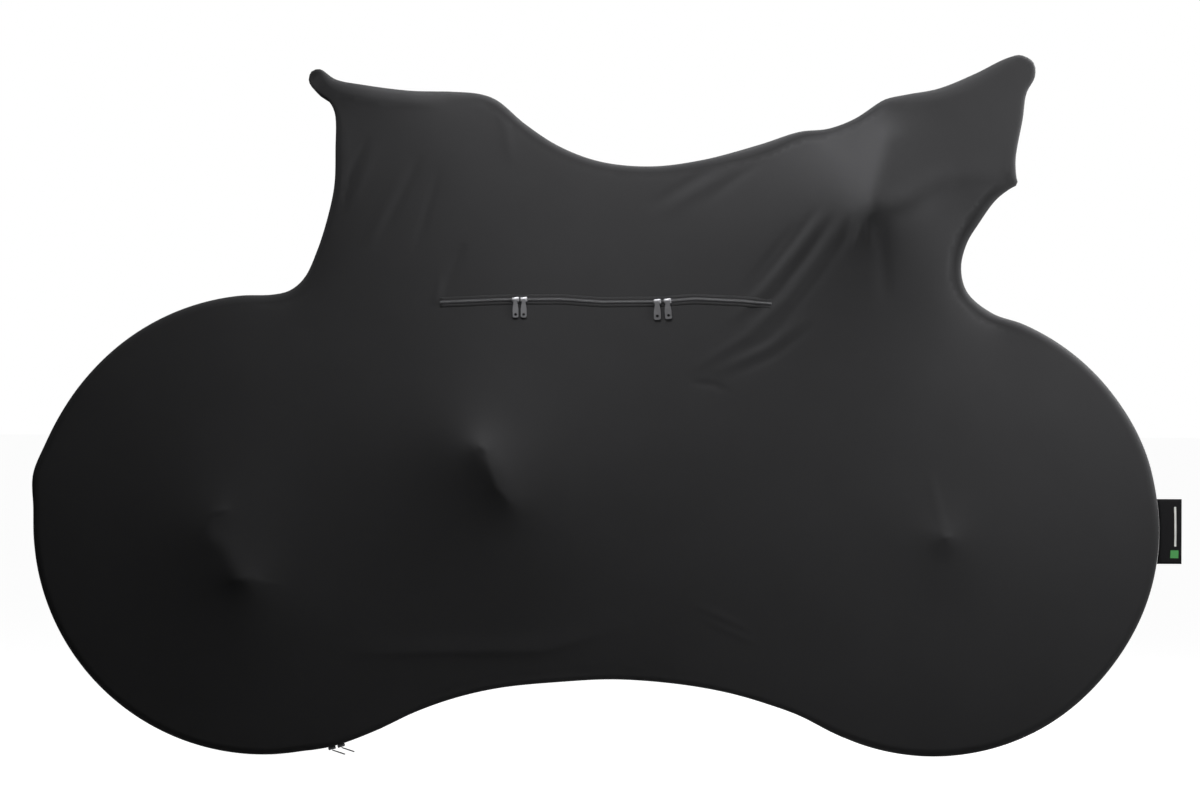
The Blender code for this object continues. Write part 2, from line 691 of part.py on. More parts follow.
def label_loop(parent):
    """A ribbon folded once and sewn to the front edge, its fold forward."""
    middle = (LABEL_LOW + LABEL_HIGH) / 2
    inner = LABEL_SPACE / 2
    outer = inner + LABEL_LAYER
    fold = [(LABEL_REACH - outer + reach * math.sin(turn), -reach * math.cos(turn)) for reach, turn in fold_turns(outer, inner)]
    bm = bmesh.new()
    loops = []
    for step in range(5):
        z = LABEL_LOW + (LABEL_HIGH - LABEL_LOW) * step / 4
        sewn = WHEELBASE + math.sqrt(FRONT_RADIUS**2 - (z - FRONT_RADIUS) ** 2) + SEAM_GAP
        section = [(sewn, -outer), *fold[:5], (sewn, outer), (sewn, inner), *fold[5:], (sewn, -inner)]
        loops.append([bm.verts.new((x, y, z)) for x, y in section])
    for a, b in zip(loops, loops[1:]):
        for i in range(len(a)):
            j = (i + 1) % len(a)
            bm.faces.new((a[i], a[j], b[j], b[i]))
    bm.faces.new(loops[0][::-1])
    bm.faces.new(loops[-1])
    return add_piece("label_loop", bm, WOVEN, parent)


def fold_turns(outer, inner):
    """The outer round of the fold, then its inner round back."""
    turns = [math.pi * step / 4 for step in range(5)]
    return [(outer, turn) for turn in turns] + [(inner, turn) for turn in turns[::-1]]


def main():
    clear_scene()
    parent = bpy.data.objects.new("cover_frame", None)
    bpy.context.scene.collection.objects.link(parent)
    parent.location = -Vector(HOLD_POINT) * MM
    dense = dense_outline()
    slot = panel("near", dense, parent)
    panel("far", dense, parent)
    side_sliders(side_zip(slot, parent), parent)
    belly_sliders(belly_zip(dense, parent), parent)
    label_loop(parent)


main()
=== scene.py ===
# %% [markdown]
# # A fitted stretch-knit cover
#
# The cover is two panels of black jersey sewn edge to edge and pulled tight. What it was pulled over isn't
# modelled, so nothing holds the cloth here but its own shape. A long zip crosses the near side, a second one
# closes the belly, and a folded ribbon is sewn into the front edge. The solids come first, because each new
# piece takes a solid's place.

# %% Load the solids
import math

import bmesh
import bpy
import numpy as np
from mathutils import Matrix, Vector


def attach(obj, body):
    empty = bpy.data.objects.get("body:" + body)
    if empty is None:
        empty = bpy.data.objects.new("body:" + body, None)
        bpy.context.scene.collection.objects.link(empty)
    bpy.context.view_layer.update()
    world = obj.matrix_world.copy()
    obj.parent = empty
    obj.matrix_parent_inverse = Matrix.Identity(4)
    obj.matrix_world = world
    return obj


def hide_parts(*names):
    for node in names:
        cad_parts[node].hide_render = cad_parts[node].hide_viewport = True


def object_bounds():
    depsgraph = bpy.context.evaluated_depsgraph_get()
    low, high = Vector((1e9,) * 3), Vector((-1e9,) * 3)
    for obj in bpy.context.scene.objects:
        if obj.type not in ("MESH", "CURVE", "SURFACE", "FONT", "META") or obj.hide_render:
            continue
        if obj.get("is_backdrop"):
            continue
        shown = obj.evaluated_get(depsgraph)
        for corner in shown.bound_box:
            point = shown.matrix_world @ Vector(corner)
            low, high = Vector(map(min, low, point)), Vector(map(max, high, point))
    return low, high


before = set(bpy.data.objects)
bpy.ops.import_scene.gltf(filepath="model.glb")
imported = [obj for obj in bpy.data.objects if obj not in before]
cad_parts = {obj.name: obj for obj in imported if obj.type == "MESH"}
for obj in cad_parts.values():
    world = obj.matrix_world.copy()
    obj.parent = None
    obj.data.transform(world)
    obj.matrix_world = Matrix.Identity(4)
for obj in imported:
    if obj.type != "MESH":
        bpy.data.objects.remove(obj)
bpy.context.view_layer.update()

# %% [markdown]
# ## Where things are
#
# A tailor measures such a cover forward from the middle of its rear end and up from the ground, in
# millimetres. The frame measures in metres from the rear peak's top, so one function turns the first into
# the second, and every mesh is modelled in millimetres and brought over at the end.

# %% Millimetres from the rear end's middle and the ground
MM = 0.001
HOLD_POINT = Vector((217.0, 0.0, 978.0))
TO_FRAME = Matrix.Scale(MM, 4) @ Matrix.Translation(-HOLD_POINT)


def spot(x, y, z):
    """A point in the frame, from millimetres forward, across and up."""
    return TO_FRAME @ Vector((x, y, z))


print("ground at", round(spot(0, 0, 0).z, 3), "m")

# %% [markdown]
# ## Camera
#
# The camera stands level, eight metres off on the zip's side, so the near side is drawn only a little larger
# than the far one. Its lens follows from the size of a pixel at the cover's middle plane, and it is rolled a
# fraction of a degree, as the lowest points of the two round ends show.

# %% Camera
SENSOR = 36.0
PHOTO_WIDTH = 1200
MM_PER_PIXEL = 1.48
CAMERA_DISTANCE = 8000.0
CAMERA_AIM = (497.6, 535.8)
CAMERA_ROLL = math.radians(0.171)
CAMERA_FAR = 100.0

scene = bpy.context.scene
camera_data = bpy.data.cameras.new("camera")
camera_data.lens = SENSOR * CAMERA_DISTANCE / (PHOTO_WIDTH * MM_PER_PIXEL)
camera_data.sensor_width = SENSOR
camera_data.clip_end = CAMERA_FAR
camera = bpy.data.objects.new("camera", camera_data)
camera.location = spot(CAMERA_AIM[0], -CAMERA_DISTANCE, CAMERA_AIM[1])
camera.rotation_euler = (math.radians(90), -CAMERA_ROLL, 0.0)
scene.collection.objects.link(camera)
scene.camera = camera
print("lens", round(camera_data.lens, 1), "mm")

# %% [markdown]
# ## Building a material
#
# Every surface here is a Principled shader with a few nodes before it. They could be placed by hand in the
# editor, but one helper that adds a node, sets its values and links its inputs keeps a material readable as
# text. The floor's comes first. It glows for the camera alone, as a lit studio sweep does, so it stays white
# without throwing light up under the cloth.

# %% Floor paint
FLOOR_COLOUR = (0.3, 0.3, 0.3)
FLOOR_ROUGHNESS = 0.9
FLOOR_GLOW = 0.93
WHITE = (1.0, 1.0, 1.0, 1.0)


def plain_material(name, colour, roughness, metallic=0.0):
    """A Principled material to build on. Returns it, its tree and its shader."""
    made = bpy.data.materials.new(name)
    made.use_nodes = True
    shader = made.node_tree.nodes["Principled BSDF"]
    shader.inputs["Base Color"].default_value = (*colour, 1.0)
    shader.inputs["Roughness"].default_value = roughness
    shader.inputs["Metallic"].default_value = metallic
    return made, made.node_tree, shader


def node(tree, kind, values=None, links=None, **settings):
    """Add a node, set its plain values and link its inputs."""
    made = tree.nodes.new(kind)
    for key, value in settings.items():
        setattr(made, key, value)
    for key, value in (values or {}).items():
        made.inputs[key].default_value = value
    for key, source in (links or {}).items():
        tree.links.new(source, made.inputs[key])
    return made


floor_paint, floor_tree, floor_shader = plain_material("pale_floor", FLOOR_COLOUR, FLOOR_ROUGHNESS)
floor_shader.inputs["Specular IOR Level"].default_value = 0.0
floor_shader.inputs["Emission Color"].default_value = WHITE
floor_seen = node(floor_tree, "ShaderNodeLightPath").outputs["Is Camera Ray"]
floor_glow = node(floor_tree, "ShaderNodeMapRange", {"To Max": FLOOR_GLOW}, {"Value": floor_seen})
floor_tree.links.new(floor_glow.outputs["Result"], floor_shader.inputs["Emission Strength"])
print("floor paint:", len(floor_tree.nodes), "nodes")

# %% [markdown]
# ## Floor
#
# The ground in the photo is plain and white. One large square at the height of the cover's lowest point is
# enough, and it is marked as stage, so it isn't taken for a piece of the cover.

# %% Floor
FLOOR_SIZE = 60.0

floor_bm = bmesh.new()
bmesh.ops.create_grid(floor_bm, x_segments=1, y_segments=1, size=FLOOR_SIZE)
bmesh.ops.translate(floor_bm, vec=spot(0, 0, 0), verts=floor_bm.verts)
floor_mesh = bpy.data.meshes.new("floor")
floor_bm.to_mesh(floor_mesh)
floor_bm.free()
floor_mesh.materials.append(floor_paint)
floor = bpy.data.objects.new("floor", floor_mesh)
scene.collection.objects.link(floor)
floor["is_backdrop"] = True
print("floor:", 2 * FLOOR_SIZE, "m wide")

# %% [markdown]
# ## Lamps
#
# Black cloth shows its folds only by where the light comes from. A lamp and a weak wide sun behind the cover
# on the right draw the bright edges, and three small lamps close to the ridge, the front peak and the waist
# make the tone fall off from there to nearly black at the lower left. One large lamp would light the whole
# side evenly, and the folds would go.

# %% Lamps
#   name, place forward, across and up, aim, width, height, power
LAMPS = (
    ("behind_waist", (2000, 500, 1700), (900, 0, 800), 900, 900, 48.0),
    ("before_ridge", (450, -900, 1500), (800, 0, 850), 500, 500, 21.6),
    ("before_waist", (1500, -500, 800), (1000, 0, 700), 500, 500, 7.9),
    ("over_slope", (640, -300, 1350), (850, -100, 870), 300, 200, 2.2),
)
SUN_PLACE = (3500, 1500, 4500)
SUN_AIM = (500, 0, 500)
SUN_STRENGTH = 0.5
SUN_WIDTH = math.radians(60.0)


def add_lamp(lamp_data, place, target):
    """Stand a lamp at a place and turn it to a target."""
    lamp = bpy.data.objects.new(lamp_data.name, lamp_data)
    lamp.location = spot(*place)
    lamp.rotation_mode = "QUATERNION"
    lamp.rotation_quaternion = (spot(*target) - spot(*place)).to_track_quat("-Z", "Y")
    scene.collection.objects.link(lamp)


for name, place, target, wide, high, power in LAMPS:
    lamp_data = bpy.data.lights.new(name, "AREA")
    lamp_data.shape = "RECTANGLE"
    lamp_data.size = wide * MM
    lamp_data.size_y = high * MM
    lamp_data.energy = power
    add_lamp(lamp_data, place, target)

sun_data = bpy.data.lights.new("soft_sun", "SUN")
sun_data.energy = SUN_STRENGTH
sun_data.angle = SUN_WIDTH
add_lamp(sun_data, SUN_PLACE, SUN_AIM)
print("lamps:", len(LAMPS) + 1)

# %% [markdown]
# ## Sky
#
# The background is white to the camera and almost dark to everything else. Otherwise its light would fill
# every fold from all sides. The Standard view keeps white as white.

# %% Sky
WORLD_STRENGTH = 0.02
SKY_SEEN = 1.0

sky = bpy.data.worlds.new("studio")
scene.world = sky
sky.use_nodes = True
sky_tree = sky.node_tree
sky_light = sky_tree.nodes["Background"]
sky_light.inputs["Color"].default_value = WHITE
sky_seen = node(sky_tree, "ShaderNodeLightPath").outputs["Is Camera Ray"]
sky_range = {"To Min": WORLD_STRENGTH, "To Max": SKY_SEEN}
sky_glow = node(sky_tree, "ShaderNodeMapRange", sky_range, {"Value": sky_seen})
sky_tree.links.new(sky_glow.outputs["Result"], sky_light.inputs["Strength"])
scene.view_settings.view_transform = "Standard"
print("sky:", WORLD_STRENGTH, "and", SKY_SEEN, "to the camera")

# %% [markdown]
# ## The silhouette
#
# The cover's outline is what its outermost points are stretched to. The two round ends are arcs, and the
# rest is a smooth curve through a few named places. Beside each place stands how far the cover reaches to
# the side there, how round its corner is, and how deep the seam sags between the two corners.

# %% Outline tables
#   name, x, z, half width, corner, sag
RIM_REAR_TO_FRONT = (
    ("neck low", 38, 687, 16, 14, 0),
    ("neck", 60, 706, 19, 14, 0),
    ("rise low", 79, 746, 26, 13, 2),
    ("rise", 95, 795, 36, 12, 5),
    ("drop low", 105, 841, 46, 12, 8),
    ("drop mid", 107, 893, 55, 12, 9),
    ("drop top", 106, 948, 61, 10, 5),
    ("tail under", 96, 966, 60, 8, 1),
    ("tail under back", 79, 978, 52, 7, 0),
    ("tail tip", 67, 995, 40, 7, 0),
    ("tail lip", 71, 1009, 42, 6, 0),
    ("tail lip top", 84, 1012, 50, 6, 0),
    ("seat back", 107, 997, 63, 15, 0),
    ("seat wide", 147, 989, 70, 20, 0),
    ("seat mid", 217, 981, 58, 20, 0),
    ("seat front", 275, 981, 35, 18, 0),
    ("seat nose", 319, 978, 21, 12, 0),
    ("nose end", 344, 969, 17, 12, 0),
    ("ridge fall", 386, 934, 15, 12, 0),
    ("ridge fall low", 437, 901, 15, 12, 0),
    ("ridge low rear", 497, 879, 15, 12, 0),
    ("ridge low", 570, 872, 16, 12, 0),
    ("ridge low front", 644, 881, 18, 13, 0),
    ("ridge rise", 733, 905, 23, 15, -2),
    ("stem back", 792, 924, 32, 10, -2),
    ("stem top", 833, 928, 60, 8, -2),
    ("stem front", 868, 940, 112, 8, -2),
    ("bar", 908, 963, 168, 10, 0),
    ("bar front", 940, 970, 188, 14, 3),
    ("ramp", 985, 978, 203, 18, 7),
    ("hood rise", 1037, 999, 208, 20, 9),
    ("hood top", 1084, 1022, 210, 15, 8),
    ("hood tip top", 1104, 1026, 210, 11, 6),
    ("hood tip", 1122, 1015, 209, 9, 5),
    ("hood front", 1124, 995, 209, 9, 7),
    ("lever top", 1112, 971, 208, 10, 13),
    ("lever bend", 1107, 935, 206, 10, 16),
    ("lever face", 1097, 877, 203, 9, 10),
    ("lever low", 1098, 852, 200, 8, 5),
    ("lever tip", 1100, 840, 196, 7, 3),
    ("lever under", 1089, 833, 190, 8, 4),
    ("front fall top", 1071, 818, 175, 14, 10),
    ("front fall", 1049, 785, 138, 16, 12),
    ("front fall low", 1034, 757, 103, 15, 8),
    ("waist", 1028, 722, 68, 14, 4),
    ("waist low", 1039, 687, 38, 14, 1),
)
RIM_FRONT_TO_REAR = (
    ("heel", 794, 60, 15, 11, 0),
    ("belly front", 750, 76, 15, 11, 0),
    ("belly front mid", 691, 93, 15, 11, 0),
    ("belly mid front", 617, 106, 15, 11, 0),
    ("belly top", 521, 113, 15, 11, 0),
    ("belly mid rear", 440, 109, 15, 11, 0),
    ("belly rear", 351, 100, 15, 11, 0),
    ("belly rear low", 285, 85, 15, 11, 0),
    ("toe high", 226, 64, 15, 11, 0),
    ("toe", 167, 36, 15, 11, 0),
    ("toe low", 108, 14, 15, 12, 0),
)
ENDS_APART = 992.0
REAR_RADIUS = 340.5
FRONT_RADIUS = 333.7
END_WIDTH = 28.0
# centre x, radius, first angle, last angle, and where the cloth leaves the circle: angle, amount, spread
REAR_ARC = (0.0, REAR_RADIUS, 280.0, 88.0, ((166.5, 9.0, 6.5), (152.0, 1.5, 8.0)))
FRONT_ARC = (ENDS_APART, FRONT_RADIUS, 75.0, -116.0, ((-38.0, -2.4, 18.0), (22.0, 1.2, 7.0)))
print("outline places:", len(RIM_REAR_TO_FRONT) + len(RIM_FRONT_TO_REAR))

# %% [markdown]
# ## The round ends
#
# The ends could be drawn through measured places too, but an arc takes only a centre and a radius and stays
# round. A few soft bumps are added to the radius where the real cloth leaves the circle.

# %% The arcs of the round ends
ARC_STEP = 8.0


def end_places(arc):
    """Rows of x, z, half width, corner and sag along one round end."""
    centre_x, radius, first, last, leaves = arc
    count = round(abs(last - first) / ARC_STEP)
    half = END_WIDTH / 2
    rows = []
    for index in range(count + 1):
        angle = first + (last - first) * index / count
        bumps = (amount * math.exp(-(((angle - at) / spread) ** 2)) for at, amount, spread in leaves)
        reach = radius + sum(bumps)
        turned = math.radians(angle)
        rows.append((centre_x + reach * math.cos(turned), radius + reach * math.sin(turned), half, half, 0.0))
    return rows


print("places on the ends:", len(end_places(REAR_ARC)), len(end_places(FRONT_ARC)))

# %% [markdown]
# ## One smooth outline
#
# A Catmull-Rom curve goes through every place, and its centripetal form makes no loops where places are
# close together. The widths and corners run along as further columns of the same rows, so they change as
# smoothly as the line does.

# %% The curve through the places
OUTLINE_STEP = 2.0
NORMAL_TURNS = 12


def curve_between(before, start, end, after):
    """Centripetal Catmull-Rom points from start up to end, without end."""
    pairs = ((before, start), (start, end), (end, after))
    gaps = [max(np.linalg.norm(q[:2] - p[:2]), 1e-6) ** 0.5 for p, q in pairs]
    leave = (start - before) / gaps[0] - (end - before) / (gaps[0] + gaps[1]) + (end - start) / gaps[1]
    arrive = (end - start) / gaps[1] - (after - start) / (gaps[1] + gaps[2]) + (after - end) / gaps[2]
    leave, arrive = leave * gaps[1], arrive * gaps[1]
    count = max(1, round(np.linalg.norm(end[:2] - start[:2]) / OUTLINE_STEP))
    points = []
    for t in np.arange(count) / count:
        blend = (2 * t**3 - 3 * t**2 + 1, t**3 - 2 * t**2 + t, 3 * t**2 - 2 * t**3, t**3 - t**2)
        points.append(blend[0] * start + blend[1] * leave + blend[2] * end + blend[3] * arrive)
    return points


def dense_outline():
    """The closed silhouette as rows of x, z, half width, corner and sag."""
    rows = end_places(REAR_ARC) + [row[1:] for row in RIM_REAR_TO_FRONT]
    rows += end_places(FRONT_ARC) + [row[1:] for row in RIM_FRONT_TO_REAR]
    knots = np.array(rows, float)
    dense = []
    for index in range(len(knots)):
        dense.extend(curve_between(*(knots[(index + k) % len(knots)] for k in (-1, 0, 1, 2))))
    dense = np.array(dense)
    dense[:, 3] = np.minimum(dense[:, 3], dense[:, 2])
    return dense


def inward_normals(dense):
    """Unit vectors in x and z that point into the silhouette, evened out along the rim."""
    ahead = np.roll(dense[:, :2], -1, axis=0) - np.roll(dense[:, :2], 1, axis=0)
    normals = np.stack([ahead[:, 1], -ahead[:, 0]], axis=1)
    for _ in range(NORMAL_TURNS):
        normals = normals + np.roll(normals, 1, axis=0) + np.roll(normals, -1, axis=0)
        normals /= np.linalg.norm(normals, axis=1)[:, None]
    return normals


OUTLINE = dense_outline()
OUTLINE_IN = inward_normals(OUTLINE)
print("outline:", len(OUTLINE), "points")

# %% [markdown]
# ## What holds the side out
#
# Between its edge and whatever pushes it out, the cloth is free. So what pushes is given as a few rods: a
# line of places, each with the half width it holds the cloth to, and a radius that makes the bend over it
# sharp or soft. Some press on both panels and some on one.

# %% Rods under the cloth
#   name, side, radius, points as (x, z, half width)
BAR_END = ((922, 905, 198), (918, 880, 203), (908, 848, 209), (899, 826, 213), (900, 812, 214))
BAR_CURL = ((900, 812, 215), (918, 810, 214), (946, 819, 213), (974, 840, 210), (1000, 852, 208))
HUMP = ((-56, 363, 62), (-76, 336, 64), (-70, 315, 66), (-51, 305, 70), (-37, 268, 74), (-16, 261, 74))
HOLD_LINES = (
    ("bar end", "both", 15, BAR_END),
    ("bar curl", "both", 20, BAR_CURL),
    ("bar lip", "both", 12, ((1000, 851, 208), (1032, 852, 205), (1062, 852, 202))),
    ("knob", "near", 16, ((320, 455, 122), (334, 434, 121), (350, 402, 112), (364, 382, 101))),
    ("far knob", "far", 20, ((442, 206, 98), (460, 188, 100), (474, 174, 93))),
    ("hump", "near", 12, HUMP),
    ("rear nub", "far", 14, ((-6, 340, 62), (6, 340, 62))),
    ("front nub", "both", 14, ((1000, 327, 58), (1008, 323, 58))),
)
print("rods:", len(HOLD_LINES))

# %% [markdown]
# ## Folds
#
# A cloth simulation would make folds of its own, in other places than the real ones. These are drawn where
# the photo shows them instead: each is a ridge or a trough along a line, fading out at both ends.

# %% Fold lines
#   name, side, height, half width, points as (x, z)
FOLDS = (
    ("drop edge fold", "both", 2.2, 5, ((115, 949), (120, 893), (114, 825))),
    ("seat fold rear", "both", -4, 8, ((158, 913), (136, 871), (109, 803))),
    ("seat fold rear crest", "both", 2.2, 9, ((171, 905), (150, 861), (123, 799))),
    ("seat fold mid", "both", -3.6, 7.5, ((235, 887), (203, 822), (165, 746))),
    ("seat fold mid crest", "both", 2, 9, ((217, 881), (186, 822), (150, 752))),
    ("seat fold front", "both", -2.6, 7, ((261, 870), (242, 805), (222, 737))),
    ("nose fold", "both", 1.6, 9, ((350, 962), (359, 917), (368, 868))),
    ("ridge fold", "both", -2.4, 9, ((679, 878), (623, 844), (565, 807))),
    ("ridge fold crest", "both", 2, 9, ((700, 872), (644, 838), (585, 799))),
    ("ridge fold front", "both", -2, 8, ((744, 883), (694, 851), (644, 812))),
    ("bar fold 1", "both", -2.6, 7, ((788, 789), (747, 737), (700, 677))),
    ("bar fold 2", "both", 2, 7, ((801, 792), (760, 741), (717, 688))),
    ("bar fold 3", "both", -4, 7, ((817, 809), (773, 753), (730, 700), (703, 668))),
    ("bar fold 4", "both", 4, 8, ((831, 809), (786, 747), (739, 688), (685, 638))),
    ("bar fold 5", "both", -3.6, 7, ((843, 800), (799, 738), (758, 685), (714, 641))),
    ("bar fold 6", "both", 3.6, 8.5, ((857, 797), (814, 732), (773, 677), (713, 621), (624, 565))),
    ("bar fold 7", "both", -3.2, 8, ((869, 785), (828, 721), (787, 668), (746, 618), (694, 588))),
    ("low fold 1", "both", 2.4, 7, ((809, 653), (741, 603), (662, 565))),
    ("low fold 2", "both", -2, 7, ((818, 642), (753, 592), (680, 556))),
    ("low fold 3", "both", -1.4, 5, ((627, 552), (664, 549), (691, 537))),
    ("end spike front", "both", 3, 5, ((883, 803), (886, 777), (891, 745))),
    ("end spike rear", "both", 2.6, 5, ((879, 801), (875, 772), (866, 737))),
    ("end hollow", "both", -4, 10, ((902, 802), (908, 746), (916, 667))),
    ("end hollow rear", "both", -2, 7, ((861, 799), (854, 766), (841, 734))),
    ("zip end crease", "near", -3, 8, ((263, 670), (279, 714), (298, 758))),
    ("zip end spike", "near", 2, 5, ((252, 664), (259, 684), (265, 708))),
    ("nub crease", "both", 2, 8, ((983, 425), (995, 369), (1006, 325))),
    ("nub tip", "both", 2.2, 5, ((998, 325), (1007, 326), (1015, 325))),
    ("knob edge", "near", 1.8, 6, ((326, 453), (336, 427), (346, 399), (373, 370))),
    ("knob tip", "near", 2, 5, ((318, 459), (327, 456), (335, 447))),
    ("hump tip", "near", 1.6, 5, ((-79, 347), (-70, 359), (-57, 363), (-41, 362))),
    ("hump heel", "near", 2, 5, ((-46, 259), (-30, 261), (-15, 265))),
    ("hump foot", "near", 0.9, 5, ((-20, 264), (8, 256), (38, 252))),
    ("belly crease", "near", 2.6, 15, ((110, 156), (300, 158), (413, 160), (478, 178), (545, 205))),
    ("belly crease edge", "near", 0.7, 5, ((110, 152), (300, 154), (413, 155), (478, 173), (530, 195))),
    ("belly wrinkle", "near", 0.9, 6, ((628, 229), (678, 207), (731, 181))),
    ("belly wrinkle low", "near", 0.8, 5, ((646, 206), (690, 185), (734, 166))),
)
print("folds:", len(FOLDS))

# %% [markdown]
# ## Points on the side
#
# Three questions come back in every step that follows: does a point lie inside a line, how far is it from
# another line, and where are the points at even steps along one. numpy answers each for thousands of points
# at once, which a loop over vertices would take minutes to do.

# %% Tools for points on the side
BLOCK = 1000


def inside(points, polygon):
    """True for each point that lies in the closed polygon."""
    x, z = points[:, 0], points[:, 1]
    found = np.zeros(len(points), bool)
    for (x0, z0), (x1, z1) in zip(polygon, np.roll(polygon, -1, axis=0)):
        if z0 != z1:
            found ^= ((z0 > z) != (z1 > z)) & (x < (x1 - x0) * (z - z0) / (z1 - z0) + x0)
    return found


def nearest(points, others):
    """Distance to, and index of, the nearest of the others for each point."""
    distance = np.empty(len(points))
    index = np.empty(len(points), int)
    for start in range(0, len(points), BLOCK):
        block = points[start : start + BLOCK]
        squares = ((block[:, None, :] - others[None, :, :]) ** 2).sum(axis=2)
        index[start : start + BLOCK] = squares.argmin(axis=1)
        distance[start : start + BLOCK] = np.sqrt(squares.min(axis=1))
    return distance, index


def walk(points, step):
    """Points along a polyline, evenly spaced, ends included."""
    points = np.array(points, float)
    lengths = np.linalg.norm(np.diff(points[:, :2], axis=0), axis=1)
    travel = np.concatenate([[0.0], np.cumsum(lengths)])
    marks = np.linspace(0.0, travel[-1], max(1, round(travel[-1] / step)) + 1)
    return np.stack([np.interp(marks, travel, points[:, k]) for k in range(points.shape[1])], axis=1)


print("longest fold:", max(len(walk(fold[4], 1.0)) for fold in FOLDS), "mm")

# %% [markdown]
# ## The film
#
# Between the seam and the rods, tight jersey takes the shape of a soap film: each point lies midway between
# its neighbours. That is a relaxation on a grid, with the rim and the rods held still. Black and white
# squares take turns, so that each step already uses the other's new heights and settles much sooner.

# %% The film
FIELD_STEP = 6.0
FIRST_HEIGHT = 60.0
ROD_STEP = 4.0
ROD_CONTACT = 0.8
RELAX_TURNS = 900
RELAX_PUSH = 1.95
SMOOTH_TURNS = 7


def neighbours(height):
    """The sum of each grid point's four neighbours."""
    return np.roll(height, 1, 0) + np.roll(height, -1, 0) + np.roll(height, 1, 1) + np.roll(height, -1, 1)


def over_rod(points, radius, path):
    """Half width of the cloth where it lies on a rod, and the points that do."""
    distance, index = nearest(points, path[:, :2])
    near = distance < radius * ROD_CONTACT
    fall = radius - np.sqrt(radius**2 - np.where(near, distance, 0.0) ** 2)
    return path[index, 2] - fall, near


def film(side):
    """The relaxed half widths on a grid: its low corner and its heights."""
    low = OUTLINE[:, :2].min(axis=0) - FIELD_STEP * 2
    high = OUTLINE[:, :2].max(axis=0) + FIELD_STEP * 2
    shape = tuple(np.ceil((high - low) / FIELD_STEP).astype(int))
    grid = np.indices(shape).reshape(2, -1).T * FIELD_STEP + low
    distance, index = nearest(grid, OUTLINE[:, :2])
    rim_depth = OUTLINE[index, 3] + np.maximum(-OUTLINE[index, 4], 0.0)
    height = OUTLINE[index, 2].copy()
    free = inside(grid, OUTLINE[:, :2]) & (distance > rim_depth)
    soft = free.copy()
    for _, where, radius, points in HOLD_LINES:
        if where in (side, "both"):
            reach, near = over_rod(grid, radius, walk(points, ROD_STEP))
            near &= free
            height[near] = reach[near]
            free &= ~near
    height[free] = FIRST_HEIGHT
    height, free, soft = (item.reshape(shape) for item in (height, free, soft))
    columns, rows = np.indices(shape)
    halves = [free & ((columns + rows) % 2 == part) for part in (0, 1)]
    for _ in range(RELAX_TURNS):
        for half in halves:
            height[half] += RELAX_PUSH * (neighbours(height)[half] / 4 - height[half])
    for _ in range(SMOOTH_TURNS):
        height[soft] = height[soft] / 2 + neighbours(height)[soft] / 8
    return low, height


FILMS = {side: film(side) for side in ("near", "far")}
print("film's mean half width:", [round(float(held[1].mean()), 1) for held in FILMS.values()], "mm")

# %% [markdown]
# ## Height of the cloth
#
# The film is known only at its grid's corners, so a place between them gets a mix of the four around it.
# The folds are added to that, which keeps them sharper than the film's own grid could.

# %% Height of the cloth at any place
FOLD_STEP = 3.0
FOLD_FADE = 0.9
FOLD_ROOM = 3
MIDDLE = np.array([[500.0, 500.0]])


def film_height(held, points):
    """The film's half width at each point, between the grid's own."""
    low, height = held
    place = (points - low) / FIELD_STEP
    cell = np.clip(np.floor(place).astype(int), 0, np.array(height.shape) - 2)
    u, v = (place - cell).T
    c, r = cell.T
    lower = height[c, r] * (1 - u) + height[c + 1, r] * u
    upper = height[c, r + 1] * (1 - u) + height[c + 1, r + 1] * u
    return lower * (1 - v) + upper * v


def fold_height(side, points):
    """How far the folds of one side stand out or lie in at each point."""
    total = np.zeros(len(points))
    for _, where, height, half, line in FOLDS:
        if where in (side, "both"):
            path = walk(line, FOLD_STEP)
            room = FOLD_ROOM * half
            close = np.all((points > path.min(axis=0) - room) & (points < path.max(axis=0) + room), axis=1)
            distance, index = nearest(points[close], path)
            ends = np.sin(np.pi * index / (len(path) - 1)).clip(0.0, 1.0) ** FOLD_FADE
            total[close] += height * ends * np.exp(-((distance / half) ** 2))
    return total


def cloth_height(side, points):
    """Half width of the finished cloth on one side."""
    return film_height(FILMS[side], points) + fold_height(side, points)


print("half width at the middle:", [round(float(cloth_height(side, MIDDLE)[0]), 1) for side in FILMS], "mm")

# %% [markdown]
# ## Rim of a panel
#
# A panel is a rim and a face. The rim is a grid of quads bent round the silhouette: each of its columns
# starts in the seam, crosses the top and turns the corner. A face extruded and bevelled along the outline
# would pinch where the outline bends sharply, while a grid keeps every strip of cloth the same from end to
# end.

# %% Rim of a panel
RIM_PITCH = 6.5
RIM_STRIPS = 10
SEAM_HALF_GAP = 0.15
ZIP_HALF_WIDTH = 4.0
UNDER_ZIP = (70.0, 860.0)
UNDER_ZIP_TOP = 130.0


def rim_section(half_width, corner, sag):
    """Depth below the silhouette and reach from the seam, from the seam to the face."""
    flat = half_width - corner
    whole = flat + corner * math.pi / 2
    split = max(flat, whole / 2)
    half = RIM_STRIPS // 2
    marks = [split * k / half for k in range(half)]
    marks += [split + (whole - split) * k / half for k in range(half + 1)]
    rings = []
    for mark in marks:
        if mark < flat:
            rings.append((max(sag, 0.0) - sag * (mark / flat) ** 2, mark))
        else:
            turn = (mark - flat) / corner
            rings.append((max(-sag, 0.0) + corner * (1 - math.cos(turn)), flat + corner * math.sin(turn)))
    return rings


def rim_stations():
    """Indices into the outline, one every few millimetres."""
    steps = np.linalg.norm(np.roll(OUTLINE[:, :2], -1, axis=0) - OUTLINE[:, :2], axis=1)
    travel = np.concatenate([[0.0], np.cumsum(steps)])
    count = round(travel[-1] / RIM_PITCH)
    return np.searchsorted(travel[:-1], np.arange(count) * travel[-1] / count)


